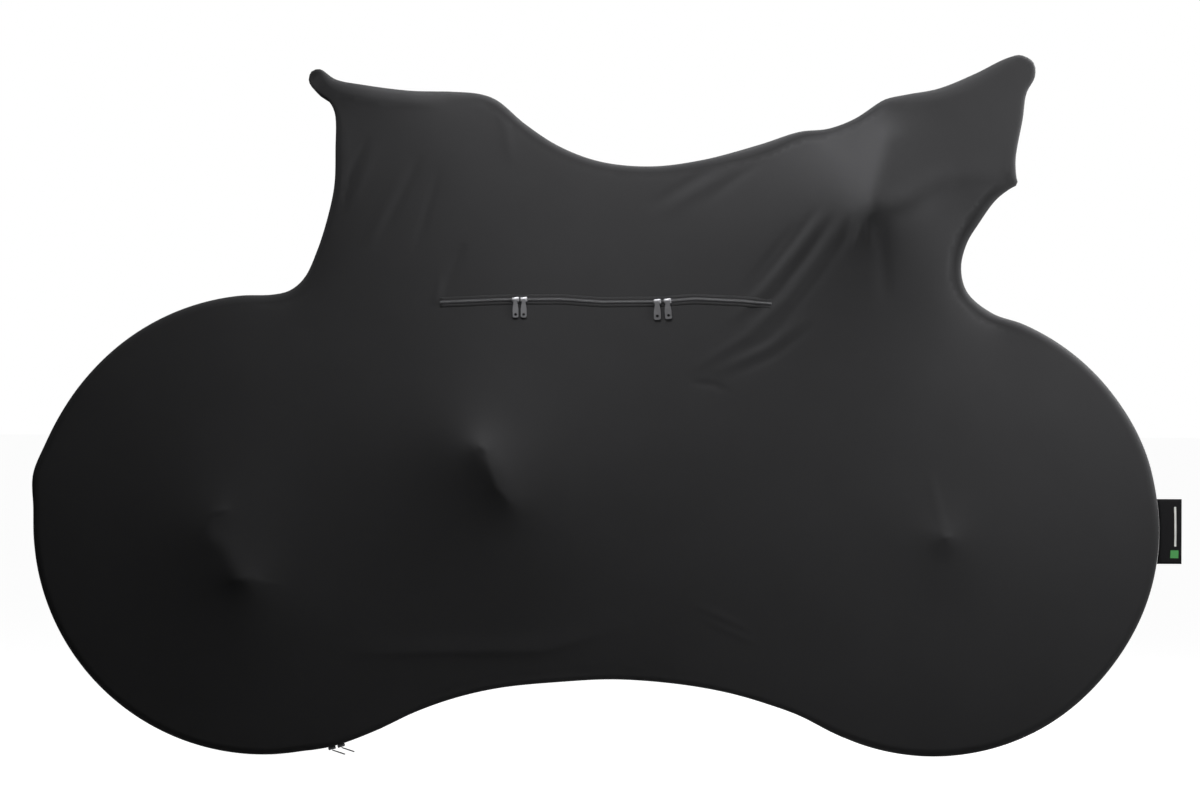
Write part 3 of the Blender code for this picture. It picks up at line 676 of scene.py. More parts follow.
def on_belly(x, z):
    """True along the belly zip."""
    return z < UNDER_ZIP_TOP and UNDER_ZIP[0] <= x <= UNDER_ZIP[1]


def rim_grid(sign):
    """A bmesh of the rim, from the seam to the edge of the side face."""
    picked = rim_stations()
    count = len(picked)
    bm = bmesh.new()
    bmesh.ops.create_grid(bm, x_segments=count, y_segments=RIM_STRIPS, size=0.5)
    for vert in bm.verts:
        station = round((vert.co.x + 0.5) * count) % count
        strip = round((vert.co.y + 0.5) * RIM_STRIPS)
        x, z, half_width, corner, sag = OUTLINE[picked[station]]
        depth, reach = rim_section(half_width, corner, sag)[strip]
        gap = ZIP_HALF_WIDTH if on_belly(x, z) else SEAM_HALF_GAP
        across = gap + reach * (half_width - gap) / half_width
        place = OUTLINE[picked[station], :2] + OUTLINE_IN[picked[station]] * depth
        vert.co = (place[0], sign * across, place[1])
    bmesh.ops.remove_doubles(bm, verts=bm.verts, dist=0.01)
    return bm


print("rim:", len(rim_stations()), "columns of", RIM_STRIPS)

# %% [markdown]
# ## Face of a panel
#
# The face is a second grid, trimmed to the rim. A band of triangles joins the two, because rows of squares
# can't follow a curved edge. It is split once more beside narrow folds, where a coarse grid would blunt them,
# and then pushed out to the height of the cloth.

# %% Face of a panel
FACE_PITCH = 6.0
FACE_MARGIN = 4.2
FINE_FOLD = 9.5
FINE_REACH = 12.0
FINE_STEP = 4.0


def ring_points(ring):
    """The ring's corners in order, as rows of x and z."""
    follow = {}
    for edge in ring:
        for a, b in (tuple(edge.verts), tuple(reversed(edge.verts))):
            follow.setdefault(a, []).append(b)
    start = before = ring[0].verts[0]
    here = follow[start][0]
    loop = [start]
    while here is not start:
        loop.append(here)
        before, here = here, next(vert for vert in follow[here] if vert is not before)
    return np.array([(vert.co.x, vert.co.z) for vert in loop])


def once(items):
    """Each item once, in the order it came. A set would give another order in each run."""
    return list(dict.fromkeys(items))


def is_pinched(vert):
    """True where two parts of the trimmed grid touch in one corner only."""
    return sum(edge.is_boundary for edge in vert.link_edges) > 2


def trimmed_grid(bm, border):
    """Lay flat squares inside the border, without pinched corners. Returns their vertices."""
    low, high = border.min(axis=0), border.max(axis=0)
    columns, rows = (int(cells) for cells in np.ceil((high - low) / FACE_PITCH))
    centre = (low + high) / 2
    lay = Matrix.Translation((centre[0], 0.0, centre[1])) @ Matrix.Rotation(math.radians(90), 4, "X")
    lay = lay @ Matrix.Diagonal((columns * FACE_PITCH, rows * FACE_PITCH, 1.0, 1.0))
    made = bmesh.ops.create_grid(bm, x_segments=columns, y_segments=rows, size=0.5, matrix=lay)
    verts = made["verts"]
    points = np.array([(vert.co.x, vert.co.z) for vert in verts])
    keep = inside(points, border) & (nearest(points, border)[0] > FACE_MARGIN)
    outside = once(face for vert, kept in zip(verts, keep) if not kept for face in vert.link_faces)
    while outside:
        bmesh.ops.delete(bm, geom=outside, context="FACES")
        verts = [vert for vert in verts if vert.is_valid]
        outside = once(vert.link_faces[0] for vert in verts if is_pinched(vert))
    return verts


def near_folds(side, points):
    """True for each point close to a narrow fold, where the cloth needs a finer grid."""
    found = np.zeros(len(points), bool)
    for _, where, _, half, line in FOLDS:
        if where in (side, "both") and half < FINE_FOLD:
            found |= nearest(points, walk(line, FINE_STEP))[0] < FINE_REACH
    return found


def fill_face(bm, side, sign):
    """Fill the ring with a grid and a band of triangles, and push both out to the cloth's height."""
    bent = bm.verts.layers.float.new("bent")
    for vert in bm.verts:
        vert[bent] = vert.co.y
    open_edges = [edge for edge in bm.edges if edge.is_boundary]
    ring = [edge for edge in open_edges if all(abs(vert.co.y) > ZIP_HALF_WIDTH for vert in edge.verts)]
    border = ring_points(ring)
    for edge in ring:
        for vert in edge.verts:
            vert.co.y = 0.0
    grid = trimmed_grid(bm, border)
    inner = once(edge for vert in grid for edge in vert.link_edges if edge.is_boundary)
    band = [*ring, *inner]
    bmesh.ops.triangle_fill(bm, use_beauty=True, use_dissolve=False, edges=band, normal=(0, sign, 0))
    squares = once(face for vert in grid for face in vert.link_faces if len(face.verts) == 4)
    centres = np.array([face.calc_center_median().xz for face in squares])
    close = near_folds(side, centres)
    fine = once(edge for face, narrow in zip(squares, close) if narrow for edge in face.edges)
    bmesh.ops.subdivide_edges(bm, edges=fine, cuts=1, use_grid_fill=True)
    points = np.array([(vert.co.x, vert.co.z) for vert in bm.verts])
    for vert, height in zip(bm.verts, cloth_height(side, points)):
        vert.co.y = vert[bent] if vert[bent] else sign * height


print("narrow folds:", sum(half < FINE_FOLD for _, _, _, half, _ in FOLDS))

# %% [markdown]
# ## Knit
#
# Jersey is rows of tiny loops, too small to see from a few steps away but what makes it matt up close. One
# group of nodes gives the loops' height, a little unevenness of dye and a few specks of lint. It reads the
# Object coordinates, because the cloth is nearly flat to the side, where a map of its own would have seams.
# As a group it can be placed in any other cloth with its own values.

# %% Knit group
KNIT_INPUTS = (("Wale", 0.0011), ("Loop Height", 0.5), ("Dye", 0.3), ("Lint", 0.5))
KNIT_OUTPUTS = ("Height", "Tint", "Lint")
ROWS_TO_WALES = 1.3
ROW_REST = 1.6
FUZZ = {"Scale": 420.0, "Detail": 3.0}
DYE_CLOUD = {"Scale": 7.0, "Detail": 4.0, "Roughness": 0.6}
LINT_CELLS = {"Scale": 16.0, "Randomness": 1.0}
LINT_SIZE = 0.012
LINT_SHARE = 0.12


def new_group(name, inputs, outputs):
    """An empty shader group with named number sockets in and out."""
    tree = bpy.data.node_groups.new(name, "ShaderNodeTree")
    for label, value in inputs:
        socket = tree.interface.new_socket(label, in_out="INPUT", socket_type="NodeSocketFloat")
        socket.default_value = value
    for label in outputs:
        tree.interface.new_socket(label, in_out="OUTPUT", socket_type="NodeSocketFloat")
    return tree, tree.nodes.new("NodeGroupInput"), tree.nodes.new("NodeGroupOutput")


def math_node(tree, operation, first, second=0.0):
    """A Math node on sockets or numbers. Returns its output."""
    made = node(tree, "ShaderNodeMath", operation=operation)
    for slot, source in enumerate((first, second)):
        if isinstance(source, (int, float)):
            made.inputs[slot].default_value = source
        else:
            tree.links.new(source, made.inputs[slot])
    return made.outputs[0]


def product(tree, first, second):
    """Two sockets or numbers, multiplied."""
    return math_node(tree, "MULTIPLY", first, second)


def knit_group():
    """Loops, dye and lint of jersey. The wale is the width of one loop in metres."""
    tree, given, result = new_group("jersey_knit", KNIT_INPUTS, KNIT_OUTPUTS)
    where = node(tree, "ShaderNodeTexCoord").outputs["Object"]
    parts = node(tree, "ShaderNodeSeparateXYZ", links={0: where})
    turns = math_node(tree, "DIVIDE", math.tau, given.outputs["Wale"])
    across = math_node(tree, "SINE", product(tree, parts.outputs["X"], turns))
    upward = math_node(tree, "SINE", product(tree, parts.outputs["Z"], product(tree, turns, ROWS_TO_WALES)))
    loops = product(tree, across, math_node(tree, "ADD", upward, ROW_REST))
    fuzz = node(tree, "ShaderNodeTexNoise", FUZZ, {"Vector": where}).outputs["Fac"]
    raised = math_node(tree, "ADD", product(tree, loops, given.outputs["Loop Height"]), fuzz)
    tree.links.new(raised, result.inputs["Height"])
    cloud = node(tree, "ShaderNodeTexNoise", DYE_CLOUD, {"Vector": where}).outputs["Fac"]
    uneven = product(tree, math_node(tree, "SUBTRACT", cloud, 0.5), given.outputs["Dye"])
    tree.links.new(math_node(tree, "ADD", uneven, 1.0), result.inputs["Tint"])
    cells = node(tree, "ShaderNodeTexVoronoi", LINT_CELLS, {"Vector": where})
    speck = math_node(tree, "LESS_THAN", cells.outputs["Distance"], LINT_SIZE)
    chosen = node(tree, "ShaderNodeSeparateColor", links={0: cells.outputs["Color"]}).outputs[0]
    rare = math_node(tree, "LESS_THAN", chosen, LINT_SHARE)
    tree.links.new(product(tree, product(tree, speck, rare), given.outputs["Lint"]), result.inputs["Lint"])
    return tree


KNIT = knit_group()
print("group:", KNIT.name, len(KNIT.nodes), "nodes")

# %% [markdown]
# ## Black jersey
#
# The yarn is dyed black on the outside only, so the cloth pales where it is pulled thin. Each panel carries
# an attribute that grows where its surface turns away from the side, and the material lightens its colour by
# that: partly the paling of pulled cloth, partly a painted highlight on the slopes. A weak sheen stands for
# the fuzz that catches light at a low angle, and the loops are a bump, far too many to model.

# %% Cloth material
CLOTH_COLOUR = (0.0150, 0.0150, 0.0157)
CLOTH_ROUGHNESS = 0.82
# how much lighter the colour is drawn on slopes: partly pulled knit paling, partly painted highlight
STRETCH_AND_HIGHLIGHT_PALE = 1.5
LINT_COLOUR = (0.30, 0.30, 0.31, 1.0)
MIX_FIRST, MIX_SECOND, MIX_RESULT = 6, 7, 2


def scaled_colour(tree, colour, factor):
    """A plain colour times a factor that changes over the surface."""
    plain = node(tree, "ShaderNodeCombineXYZ", dict(enumerate(colour)))
    links = {0: plain.outputs[0], 3: factor}
    return node(tree, "ShaderNodeVectorMath", links=links, operation="SCALE").outputs[0]


def relief(tree, shader, height, strength, distance):
    """Let a height tilt the surface a little, as fine relief does."""
    bump = node(tree, "ShaderNodeBump", {"Strength": strength, "Distance": distance}, {"Height": height})
    tree.links.new(bump.outputs["Normal"], shader.inputs["Normal"])


def black_jersey():
    """Matt black jersey with a soft sheen."""
    made, tree, shader = plain_material("black_jersey", CLOTH_COLOUR, CLOTH_ROUGHNESS)
    knit = node(tree, "ShaderNodeGroup", node_tree=KNIT)
    # the slope attribute lightens the colour: partly stretched knit paling, partly painted highlight
    stretch_and_highlight_amount = node(tree, "ShaderNodeAttribute", attribute_name="stretch_and_highlight").outputs["Fac"]
    pale = math_node(tree, "ADD", product(tree, stretch_and_highlight_amount, STRETCH_AND_HIGHLIGHT_PALE), 1.0)
    dyed = scaled_colour(tree, CLOTH_COLOUR, product(tree, knit.outputs["Tint"], pale))
    links = {"Factor": knit.outputs["Lint"], MIX_FIRST: dyed}
    linty = node(tree, "ShaderNodeMix", {MIX_SECOND: LINT_COLOUR}, links, data_type="RGBA")
    tree.links.new(linty.outputs[MIX_RESULT], shader.inputs["Base Color"])
    relief(tree, shader, knit.outputs["Height"], 0.25, 0.0003)
    shader.inputs["Sheen Weight"].default_value = 0.06
    shader.inputs["Sheen Roughness"].default_value = 0.45
    shader.inputs["Specular IOR Level"].default_value = 0.15
    return made


cloth = black_jersey()
print("cloth:", cloth.name, len(cloth.node_tree.nodes), "nodes")

# %% [markdown]
# ## From a mesh to a piece
#
# Every piece is finished the same way: its bmesh is brought from millimetres to the frame, so the object
# itself stays at the origin, it is told what it rides on, it gets its material, and the solid it stands for
# is hidden.

# %% Finish a mesh
def finished(name, bm, material, stands_for=None, smooth=True, outward=True):
    """Make a bmesh a piece at the origin that rides on the cover."""
    if outward:
        bmesh.ops.recalc_face_normals(bm, faces=bm.faces)
    bmesh.ops.transform(bm, matrix=TO_FRAME, verts=bm.verts)
    for face in bm.faces:
        face.smooth = smooth
    mesh = bpy.data.meshes.new(name)
    bm.to_mesh(mesh)
    bm.free()
    mesh.materials.append(material)
    piece = bpy.data.objects.new(name, mesh)
    scene.collection.objects.link(piece)
    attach(piece, "root")
    if stands_for:
        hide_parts(stands_for)
    print(name, "-", len(mesh.polygons), "faces")
    return piece


def with_thickness(piece, thickness):
    """Give a sheet its thickness in millimetres, inward from its outer face."""
    layer = piece.modifiers.new("thickness", "SOLIDIFY")
    layer.thickness = thickness * MM
    layer.offset = -1.0


# %% [markdown]
# ## Both panels
#
# The near panel and the far one share the silhouette and meet in the seam. They differ in what presses on
# them, so each has its own film. A solidify modifier gives the cloth its thickness at the very end, which is
# easier than to model two faces of it. Where the cloth turns away from the side it has been pulled longest,
# so its slope sets how much its colour is lightened. That lightening is partly the paling of stretched knit
# and partly a painted highlight on the slopes.

# %% Make the panels
CLOTH_THICKNESS = 1.6
MOST_STRETCH_AND_HIGHLIGHT = 0.8
STEEPEST = 0.3


def panel(side):
    """One side of the cover as a single sheet of jersey."""
    sign = -1 if side == "near" else 1
    bm = rim_grid(sign)
    fill_face(bm, side, sign)
    bmesh.ops.recalc_face_normals(bm, faces=bm.faces)
    if sum(face.normal.y * sign * face.calc_area() for face in bm.faces) < 0:
        bmesh.ops.reverse_faces(bm, faces=bm.faces)
    bm.normal_update()
    # how far each vertex turns from the side, which lightens the colour: partly stretch, partly painted
    # highlight
    stretch_and_highlight = bm.verts.layers.float.new("stretch_and_highlight")
    for vert in bm.verts:
        vert[stretch_and_highlight] = min(1.0 / max(abs(vert.normal.y), STEEPEST) - 1.0, MOST_STRETCH_AND_HIGHLIGHT)
    piece = finished(f"jersey_{side}", bm, cloth, f"side_panel_{side}", outward=False)
    with_thickness(piece, CLOTH_THICKNESS)
    return piece


near_panel = panel("near")
far_panel = panel("far")

# %% [markdown]
# ## What the sheets are
#
# Both panels were cut flat before they were pulled on. Each is smaller than what the cloth covers now, by its
# stretch.

# %% [markdown]
# ## Places along a line
#
# The zip, its stitches and the seam all follow a line on the cloth. A station is a turned place on such a
# line: x runs along it, z points out of the cloth and y goes across. A sweep is a grid of quads with one
# column for each station, bent to a cross-section. A curve with a bevel would do the same, but it can't be
# told which way is out of the cloth.

# %% Stations and sweeps
SIDE_ZIP_LINE = (
    *((262, 669), (350, 673), (439, 674), (500, 670)),
    *((585, 671), (636, 675), (702, 672), (749, 668)),
)
TILT_REACH = 6


def frame_at(place, along, out):
    """A matrix whose x runs along, z out of the cloth and y across, at a place in millimetres."""
    out = out.normalized()
    along = (along - out * along.dot(out)).normalized()
    turned = Matrix((along, out.cross(along), out)).transposed().to_4x4()
    return Matrix.Translation(place) @ turned


def near_stations(line, step):
    """Stations on the near side's outer face along a line of x and z."""
    path = walk(line, step)
    heights = cloth_height("near", path)
    shifts = ((0, TILT_REACH), (0, -TILT_REACH), (TILT_REACH, 0), (-TILT_REACH, 0))
    around = [cloth_height("near", path + shift) for shift in shifts]
    rise = (around[0] - around[1]) / (2 * TILT_REACH)
    slope = (around[2] - around[3]) / (2 * TILT_REACH)
    places = [Vector((x, -y, z)) for (x, z), y in zip(path, heights)]
    stations = []
    for index, place in enumerate(places):
        out = Vector((-slope[index], -1.0, -rise[index]))
        ahead = places[min(index + 1, len(places) - 1)] - places[max(index - 1, 0)]
        stations.append(frame_at(place, ahead, out))
    return stations


def swept(stations, section):
    """A closed bmesh that carries a cross-section of (y, z) pairs through the stations."""
    bm = bmesh.new()
    ring = [*section, section[0]]
    bmesh.ops.create_grid(bm, x_segments=len(stations) - 1, y_segments=len(ring) - 1, size=0.5)
    for vert in bm.verts:
        station = stations[round((vert.co.x + 0.5) * (len(stations) - 1))]
        across, out = ring[round((vert.co.y + 0.5) * (len(ring) - 1))]
        vert.co = station @ Vector((0.0, across, out))
    bmesh.ops.remove_doubles(bm, verts=bm.verts, dist=0.001)
    bmesh.ops.holes_fill(bm, edges=[edge for edge in bm.edges if edge.is_boundary], sides=0)
    return bm


print("side zip:", len(near_stations(SIDE_ZIP_LINE, 1.0)), "mm")

# %% [markdown]
# ## Thread, plastic and metal
#
# The zip's woven tape, its plastic coil, the stitches and the plated sliders all have a fine unevenness. One
# small group gives it. It tilts the surface of the threads, and on the metal it makes some places shinier
# than others, as handling does.

# %% Zip materials
GRAIN_INPUTS = (("Scale", 900.0), ("Detail", 2.0))
METAL_GRAIN = {"Scale": 350.0, "Detail": 3.0}
METAL_SHARE = 0.95
RUBBED = 0.08
DULLED = 0.12


def grain_group():
    """Fine unevenness, with its scale in grains to the metre."""
    tree, given, result = new_group("fine_grain", GRAIN_INPUTS, ("Grain",))
    where = node(tree, "ShaderNodeTexCoord").outputs["Object"]
    links = {"Vector": where, "Scale": given.outputs["Scale"], "Detail": given.outputs["Detail"]}
    noise = node(tree, "ShaderNodeTexNoise", links=links)
    tree.links.new(noise.outputs["Fac"], result.inputs["Grain"])
    return tree


GRAIN = grain_group()


def plain_thread(name, colour, roughness, sheen):
    """A dull textile or plastic with a faint uneven surface."""
    made, tree, shader = plain_material(name, colour, roughness)
    grain = node(tree, "ShaderNodeGroup", node_tree=GRAIN)
    relief(tree, shader, grain.outputs["Grain"], 0.3, 0.0002)
    shader.inputs["Sheen Weight"].default_value = sheen
    return made


def metal(name, colour, roughness):
    """Plated die-cast metal, rubbed a little brighter here and there."""
    made, tree, shader = plain_material(name, colour, roughness, METAL_SHARE)
    grain = node(tree, "ShaderNodeGroup", METAL_GRAIN, node_tree=GRAIN)
    reach = {"To Min": roughness - RUBBED, "To Max": roughness + DULLED}
    uneven = node(tree, "ShaderNodeMapRange", reach, {"Value": grain.outputs["Grain"]})
    tree.links.new(uneven.outputs["Result"], shader.inputs["Roughness"])
    return made


tape_cloth = plain_thread("zip_tape", (0.008, 0.008, 0.009), 0.85, 0.05)
coil_plastic = plain_thread("zip_coil", (0.055, 0.055, 0.058), 0.4, 0.0)
stitch_thread = plain_thread("stitch_thread", (0.02, 0.02, 0.021), 0.6, 0.05)
slider_metal = metal("gunmetal", (0.24, 0.24, 0.25), 0.36)
print("group:", GRAIN.name, "in 4 materials")

# %% [markdown]
# ## Tape and coil
#
# The zip is a coil of plastic wire sewn to a woven tape. A true helix would take thousands of faces for each
# centimetre and look the same from arm's length, so each turn of the coil is a short bar across the line,
# every other one shifted, as the two halves lie when the zip is closed.

# %% Tape and coil
COIL_PITCH = 1.25
COIL_WIDTH = 3.4
COIL_RADIUS = 0.55
COIL_SHIFT = 0.45
COIL_SIDES = 6
COIL_LIFT = 1.3
TAPE_HALF = 3.4
TAPE_SECTION = ((-TAPE_HALF, 0.2), (-TAPE_HALF, 0.9), (TAPE_HALF, 0.9), (TAPE_HALF, 0.2))
ZIP_STEP = 6.0


def coil(stations, lift):
    """Turns of the coil across the line, every other one shifted, as two halves close."""
    bm = bmesh.new()
    shape = {"radius1": COIL_RADIUS, "radius2": COIL_RADIUS, "depth": COIL_WIDTH}
    for index, station in enumerate(stations):
        shift = COIL_SHIFT if index % 2 else -COIL_SHIFT
        bar = station @ Matrix.Translation((0.0, shift, lift)) @ Matrix.Rotation(math.radians(90), 4, "X")
        bmesh.ops.create_cone(bm, cap_ends=True, segments=COIL_SIDES, matrix=bar, **shape)
    return bm


tape_bm = swept(near_stations(SIDE_ZIP_LINE, ZIP_STEP), TAPE_SECTION)
finished("side_zip_tape", tape_bm, tape_cloth, "side_zip")
coil_bm = coil(near_stations(SIDE_ZIP_LINE, COIL_PITCH), COIL_LIFT)
finished("side_zip_coil", coil_bm, coil_plastic)

# %% [markdown]
# ## Turned edges and stitches
#
# The zip lies in a slit whose cloth is turned under and stitched down on both sides. The turn is a low welt
# that runs out flat into the cloth, and each stitch a small capsule, half sunk into it.

# %% Turned edges and stitches
STITCH_PITCH = 3.1
STITCH_SIZE = (1.15, 0.26, 0.26)
STITCH_AWAY = 5.2
STITCH_LIFT = 1.15
WELT = ((3.2, 0.1), (2.9, 0.6), (3.4, 1.1), (4.4, 1.25), (5.6, 1.0), (6.8, 0.5), (7.6, 0.05))

stitch_bm = bmesh.new()
stitch_shape = Matrix.Diagonal((*STITCH_SIZE, 1.0))
for away in (-STITCH_AWAY, STITCH_AWAY):
    for station in near_stations(SIDE_ZIP_LINE, STITCH_PITCH):
        place = station @ Matrix.Translation((0.0, away, STITCH_LIFT)) @ stitch_shape
        bmesh.ops.create_icosphere(stitch_bm, subdivisions=1, radius=1.0, matrix=place)
finished("side_zip_stitches", stitch_bm, stitch_thread)

for name, sign in (("low", 1), ("high", -1)):
    section = [(sign * across, out) for across, out in WELT]
    finished(f"side_zip_welt_{name}", swept(near_stations(SIDE_ZIP_LINE, ZIP_STEP), section), cloth)

# %% [markdown]
# ## Slider and pull
#
# A slider is cast in one piece: a plate that wraps the coil, narrower behind, with all its edges rounded by
# a bevel. The pull is stamped from sheet: a flat tab with a narrow neck, a wider free end and a round eye.
# Its outline and its eye are filled together, which leaves the hole open, and then extruded.

# %% Slider and pull
SLIDER_SIZE = (11.0, 7.8, 4.4)
SLIDER_LIFT = 0.3
SLIDER_TAPER = 0.8
SLIDER_EDGE = 1.0
ROUND = {"profile": 0.5, "material": -1}
PULL_THICK = 1.3
PULL_NECK = 0.62
PULL_SPREAD = 1.9
PULL_CORNER = 0.3
PULL_EYE_PLACE = 0.55
PULL_HOLE = 2.1


def slider(name, station):
    """The slider's body: a tapered plate with rounded edges."""
    long, wide, high = SLIDER_SIZE
    bm = bmesh.new()
    plate = Matrix.Translation((0, 0, high / 2 + SLIDER_LIFT)) @ Matrix.Diagonal((long, wide, high, 1.0))
    bmesh.ops.create_cube(bm, size=1.0, matrix=plate)
    for vert in bm.verts:
        vert.co.y *= SLIDER_TAPER if vert.co.x < 0 else 1.0
    bmesh.ops.bevel(bm, geom=bm.edges[:], offset=SLIDER_EDGE, segments=3, affect="EDGES", **ROUND)
    bmesh.ops.transform(bm, matrix=station, verts=bm.verts)
    finished(name, bm, slider_metal, name)


def pull(name, wide, long, station):
    """The pull: a tapered tab with rounded corners and an eye near its free end."""
    bm = bmesh.new()
    bmesh.ops.create_grid(bm, x_segments=4, y_segments=8, size=0.5)
    for vert in bm.verts:
        down = 0.5 - vert.co.y
        narrow = PULL_NECK + (1 - PULL_NECK) * min(1.0, down * PULL_SPREAD) ** 1.5
        vert.co = (vert.co.x * wide * narrow, -down * long, 0.0)
    corners = [vert for vert in bm.verts if len(vert.link_edges) == 2]
    bmesh.ops.bevel(bm, geom=corners, offset=wide * PULL_CORNER, segments=4, affect="VERTICES", **ROUND)
    bmesh.ops.dissolve_limit(bm, angle_limit=0.01, verts=bm.verts[:], edges=bm.edges[:])
    rim = [edge for edge in bm.edges if edge.is_boundary]
    bmesh.ops.delete(bm, geom=bm.faces[:], context="FACES_ONLY")
    place = Matrix.Translation((0.0, wide * PULL_EYE_PLACE - long, 0.0))
    eye = bmesh.ops.create_circle(bm, cap_ends=False, segments=16, radius=PULL_HOLE, matrix=place)["verts"]
    eye_edges = once(edge for vert in eye for edge in vert.link_edges)
    bmesh.ops.triangle_fill(bm, use_beauty=True, edges=[*rim, *eye_edges])
    made = bmesh.ops.extrude_face_region(bm, geom=bm.faces[:])
    lifted = [item for item in made["geom"] if isinstance(item, bmesh.types.BMVert)]
    bmesh.ops.translate(bm, vec=(0.0, 0.0, PULL_THICK), verts=lifted)
    bmesh.ops.transform(bm, matrix=station, verts=bm.verts)
    finished(name, bm, slider_metal, name, smooth=False)


print("slider:", SLIDER_SIZE, "mm, eye:", 2 * PULL_HOLE, "mm")

# %% [markdown]
# ## Sliders on the side zip
#
# Four sliders ride on the side zip, in two pairs that open it from the middle outward. Each stands at the
# station nearest to its place, so it tilts with the cloth, and its pull hangs from its top.

# %% Sliders on the side zip
#   name, x, pull width
SIDE_SLIDERS = (("1", 373.0, 8.6), ("2", 384.4, 8.6), ("3", 582.0, 10.0), ("4", 596.4, 10.0))
PULL_LENGTH = 27.0
PULL_LEAN = math.radians(6.0)
PULL_CLEAR = 0.9

zip_stations = near_stations(SIDE_ZIP_LINE, 1.0)
hang = Matrix.Translation((0.0, 0.0, SLIDER_SIZE[2] + PULL_CLEAR)) @ Matrix.Rotation(PULL_LEAN, 4, "X")
for name, x, wide in SIDE_SLIDERS:
    station = min(zip_stations, key=lambda place: abs(place.translation.x - x))
    slider(f"side_zip_slider_{name}", station)
    pull(f"side_zip_pull_{name}", wide, PULL_LENGTH, station @ hang)

# %% [markdown]
# ## Belly zip
#
# The belly's zip lies in the seam between the two panels, so its stations follow the silhouette, with z
# pointing out of the cover. It hardly shows from the side, but it closes the gap that the panels leave there.

# %% Belly zip
BELLY_SECTION = ((-3.7, -1.6), (-3.7, -0.6), (3.7, -0.6), (3.7, -1.6))
BELLY_COIL_LIFT = -0.1
BELLY_TURNS = 5


def seam_stations(wanted):
    """Stations on the silhouette where x and z are wanted, in the plane between the panels."""
    stations = []
    for index in rim_stations():
        x, z, _, _, sag = OUTLINE[index]
        if wanted(x, z):
            inward = Vector((OUTLINE_IN[index][0], 0.0, OUTLINE_IN[index][1]))
            place = Vector((x, 0.0, z)) + inward * max(sag, 0.0)
            along = Vector((-inward.z, 0.0, inward.x))
            stations.append(frame_at(place, along, -inward))
    return stations


belly_stations = seam_stations(on_belly)
finished("belly_zip_tape", swept(belly_stations, BELLY_SECTION), tape_cloth, "belly_zip")
belly_turns = []
for start, end in zip(belly_stations, belly_stations[1:]):
    belly_turns.extend(start.lerp(end, turn / BELLY_TURNS) for turn in range(BELLY_TURNS))
finished("belly_zip_coil", coil(belly_turns, BELLY_COIL_LIFT), coil_plastic)

# %% [markdown]
# ## Seam thread
#
# The rest of the seam is closed by a thin thread. It starts where the longest step between two stations is,
# because that is the belly's gap, and runs round to its other end.

# %% Seam thread
THREAD_RADIUS = 0.45
THREAD_DEPTH = 0.5
THREAD_SIDES = 6


def step_before(stations, index):
    """Distance from the station before."""
    return (stations[index].translation - stations[index - 1].translation).length


thread_turns = np.arange(THREAD_SIDES) * math.tau / THREAD_SIDES
thread_section = [
    (THREAD_RADIUS * math.cos(turn), THREAD_RADIUS * math.sin(turn) - THREAD_DEPTH) for turn in thread_turns
]
seam_line = seam_stations(lambda x, z: not on_belly(x, z))
first = max(range(len(seam_line)), key=lambda index: step_before(seam_line, index))
seam_line = seam_line[first:] + seam_line[:first]
finished("seam_thread", swept(seam_line, thread_section), stitch_thread)

# %% [markdown]
# ## Sliders on the belly zip
#
# Two more sliders close the belly zip, with their pulls lying forward and a little down. They are the same
# castings, so the same two functions make them.

# %% Sliders on the belly zip
UNDER_SLIDERS = (("1", 100.0), ("2", 113.0))
UNDER_PULL_LENGTH = 20.0
UNDER_PULL_DROP = math.radians(18.0)
UNDER_PULL_WIDE = 8.6
UNDER_PULL_CLEAR = 0.6

down = Vector((-math.sin(UNDER_PULL_DROP), 0.0, -math.cos(UNDER_PULL_DROP)))
for name, x in UNDER_SLIDERS:
    station = min(belly_stations, key=lambda place: abs(place.translation.x - x))
    out = station.to_3x3() @ Vector((0.0, 0.0, 1.0))
    slider(f"belly_zip_slider_{name}", frame_at(station.translation, Vector((1.0, 0.0, 0.0)), out))
    low = station.translation + out * (SLIDER_SIZE[2] + UNDER_PULL_CLEAR)
    lying = frame_at(low, Vector((0.0, -1.0, 0.0)), down)
    pull(f"belly_zip_pull_{name}", UNDER_PULL_WIDE, UNDER_PULL_LENGTH, lying)

# %% [markdown]
# ## Ribbon
#
# The ribbon is woven, black, with a pale stripe and a green block in it. Both are drawn from the piece's own
# map, whose first axis runs from the sewn end to the fold, so they sit the same on both of its sides. A wave
# across it gives the ribs of the weave.

# %% Ribbon material
RIBBON_COLOUR = (0.004, 0.004, 0.0045)
RIBBON_ROUGHNESS = 0.8
# from the sewn end forward, in parts of the loop: start, end, low, high
LABEL_STRIPE = (0.47, 0.53, 0.27, 0.88)
STRIPE_COLOUR = (0.42, 0.42, 0.40, 1.0)
LABEL_BLOCK = (0.36, 0.60, 0.09, 0.21)
BLOCK_COLOUR = (0.05, 0.20, 0.06, 1.0)
RIBS = {"Scale": 90.0, "Distortion": 0.3}


def between(tree, value, low, high):
    """One where a value lies between two limits, otherwise zero."""
    above = math_node(tree, "GREATER_THAN", value, low)
    return product(tree, above, math_node(tree, "LESS_THAN", value, high))


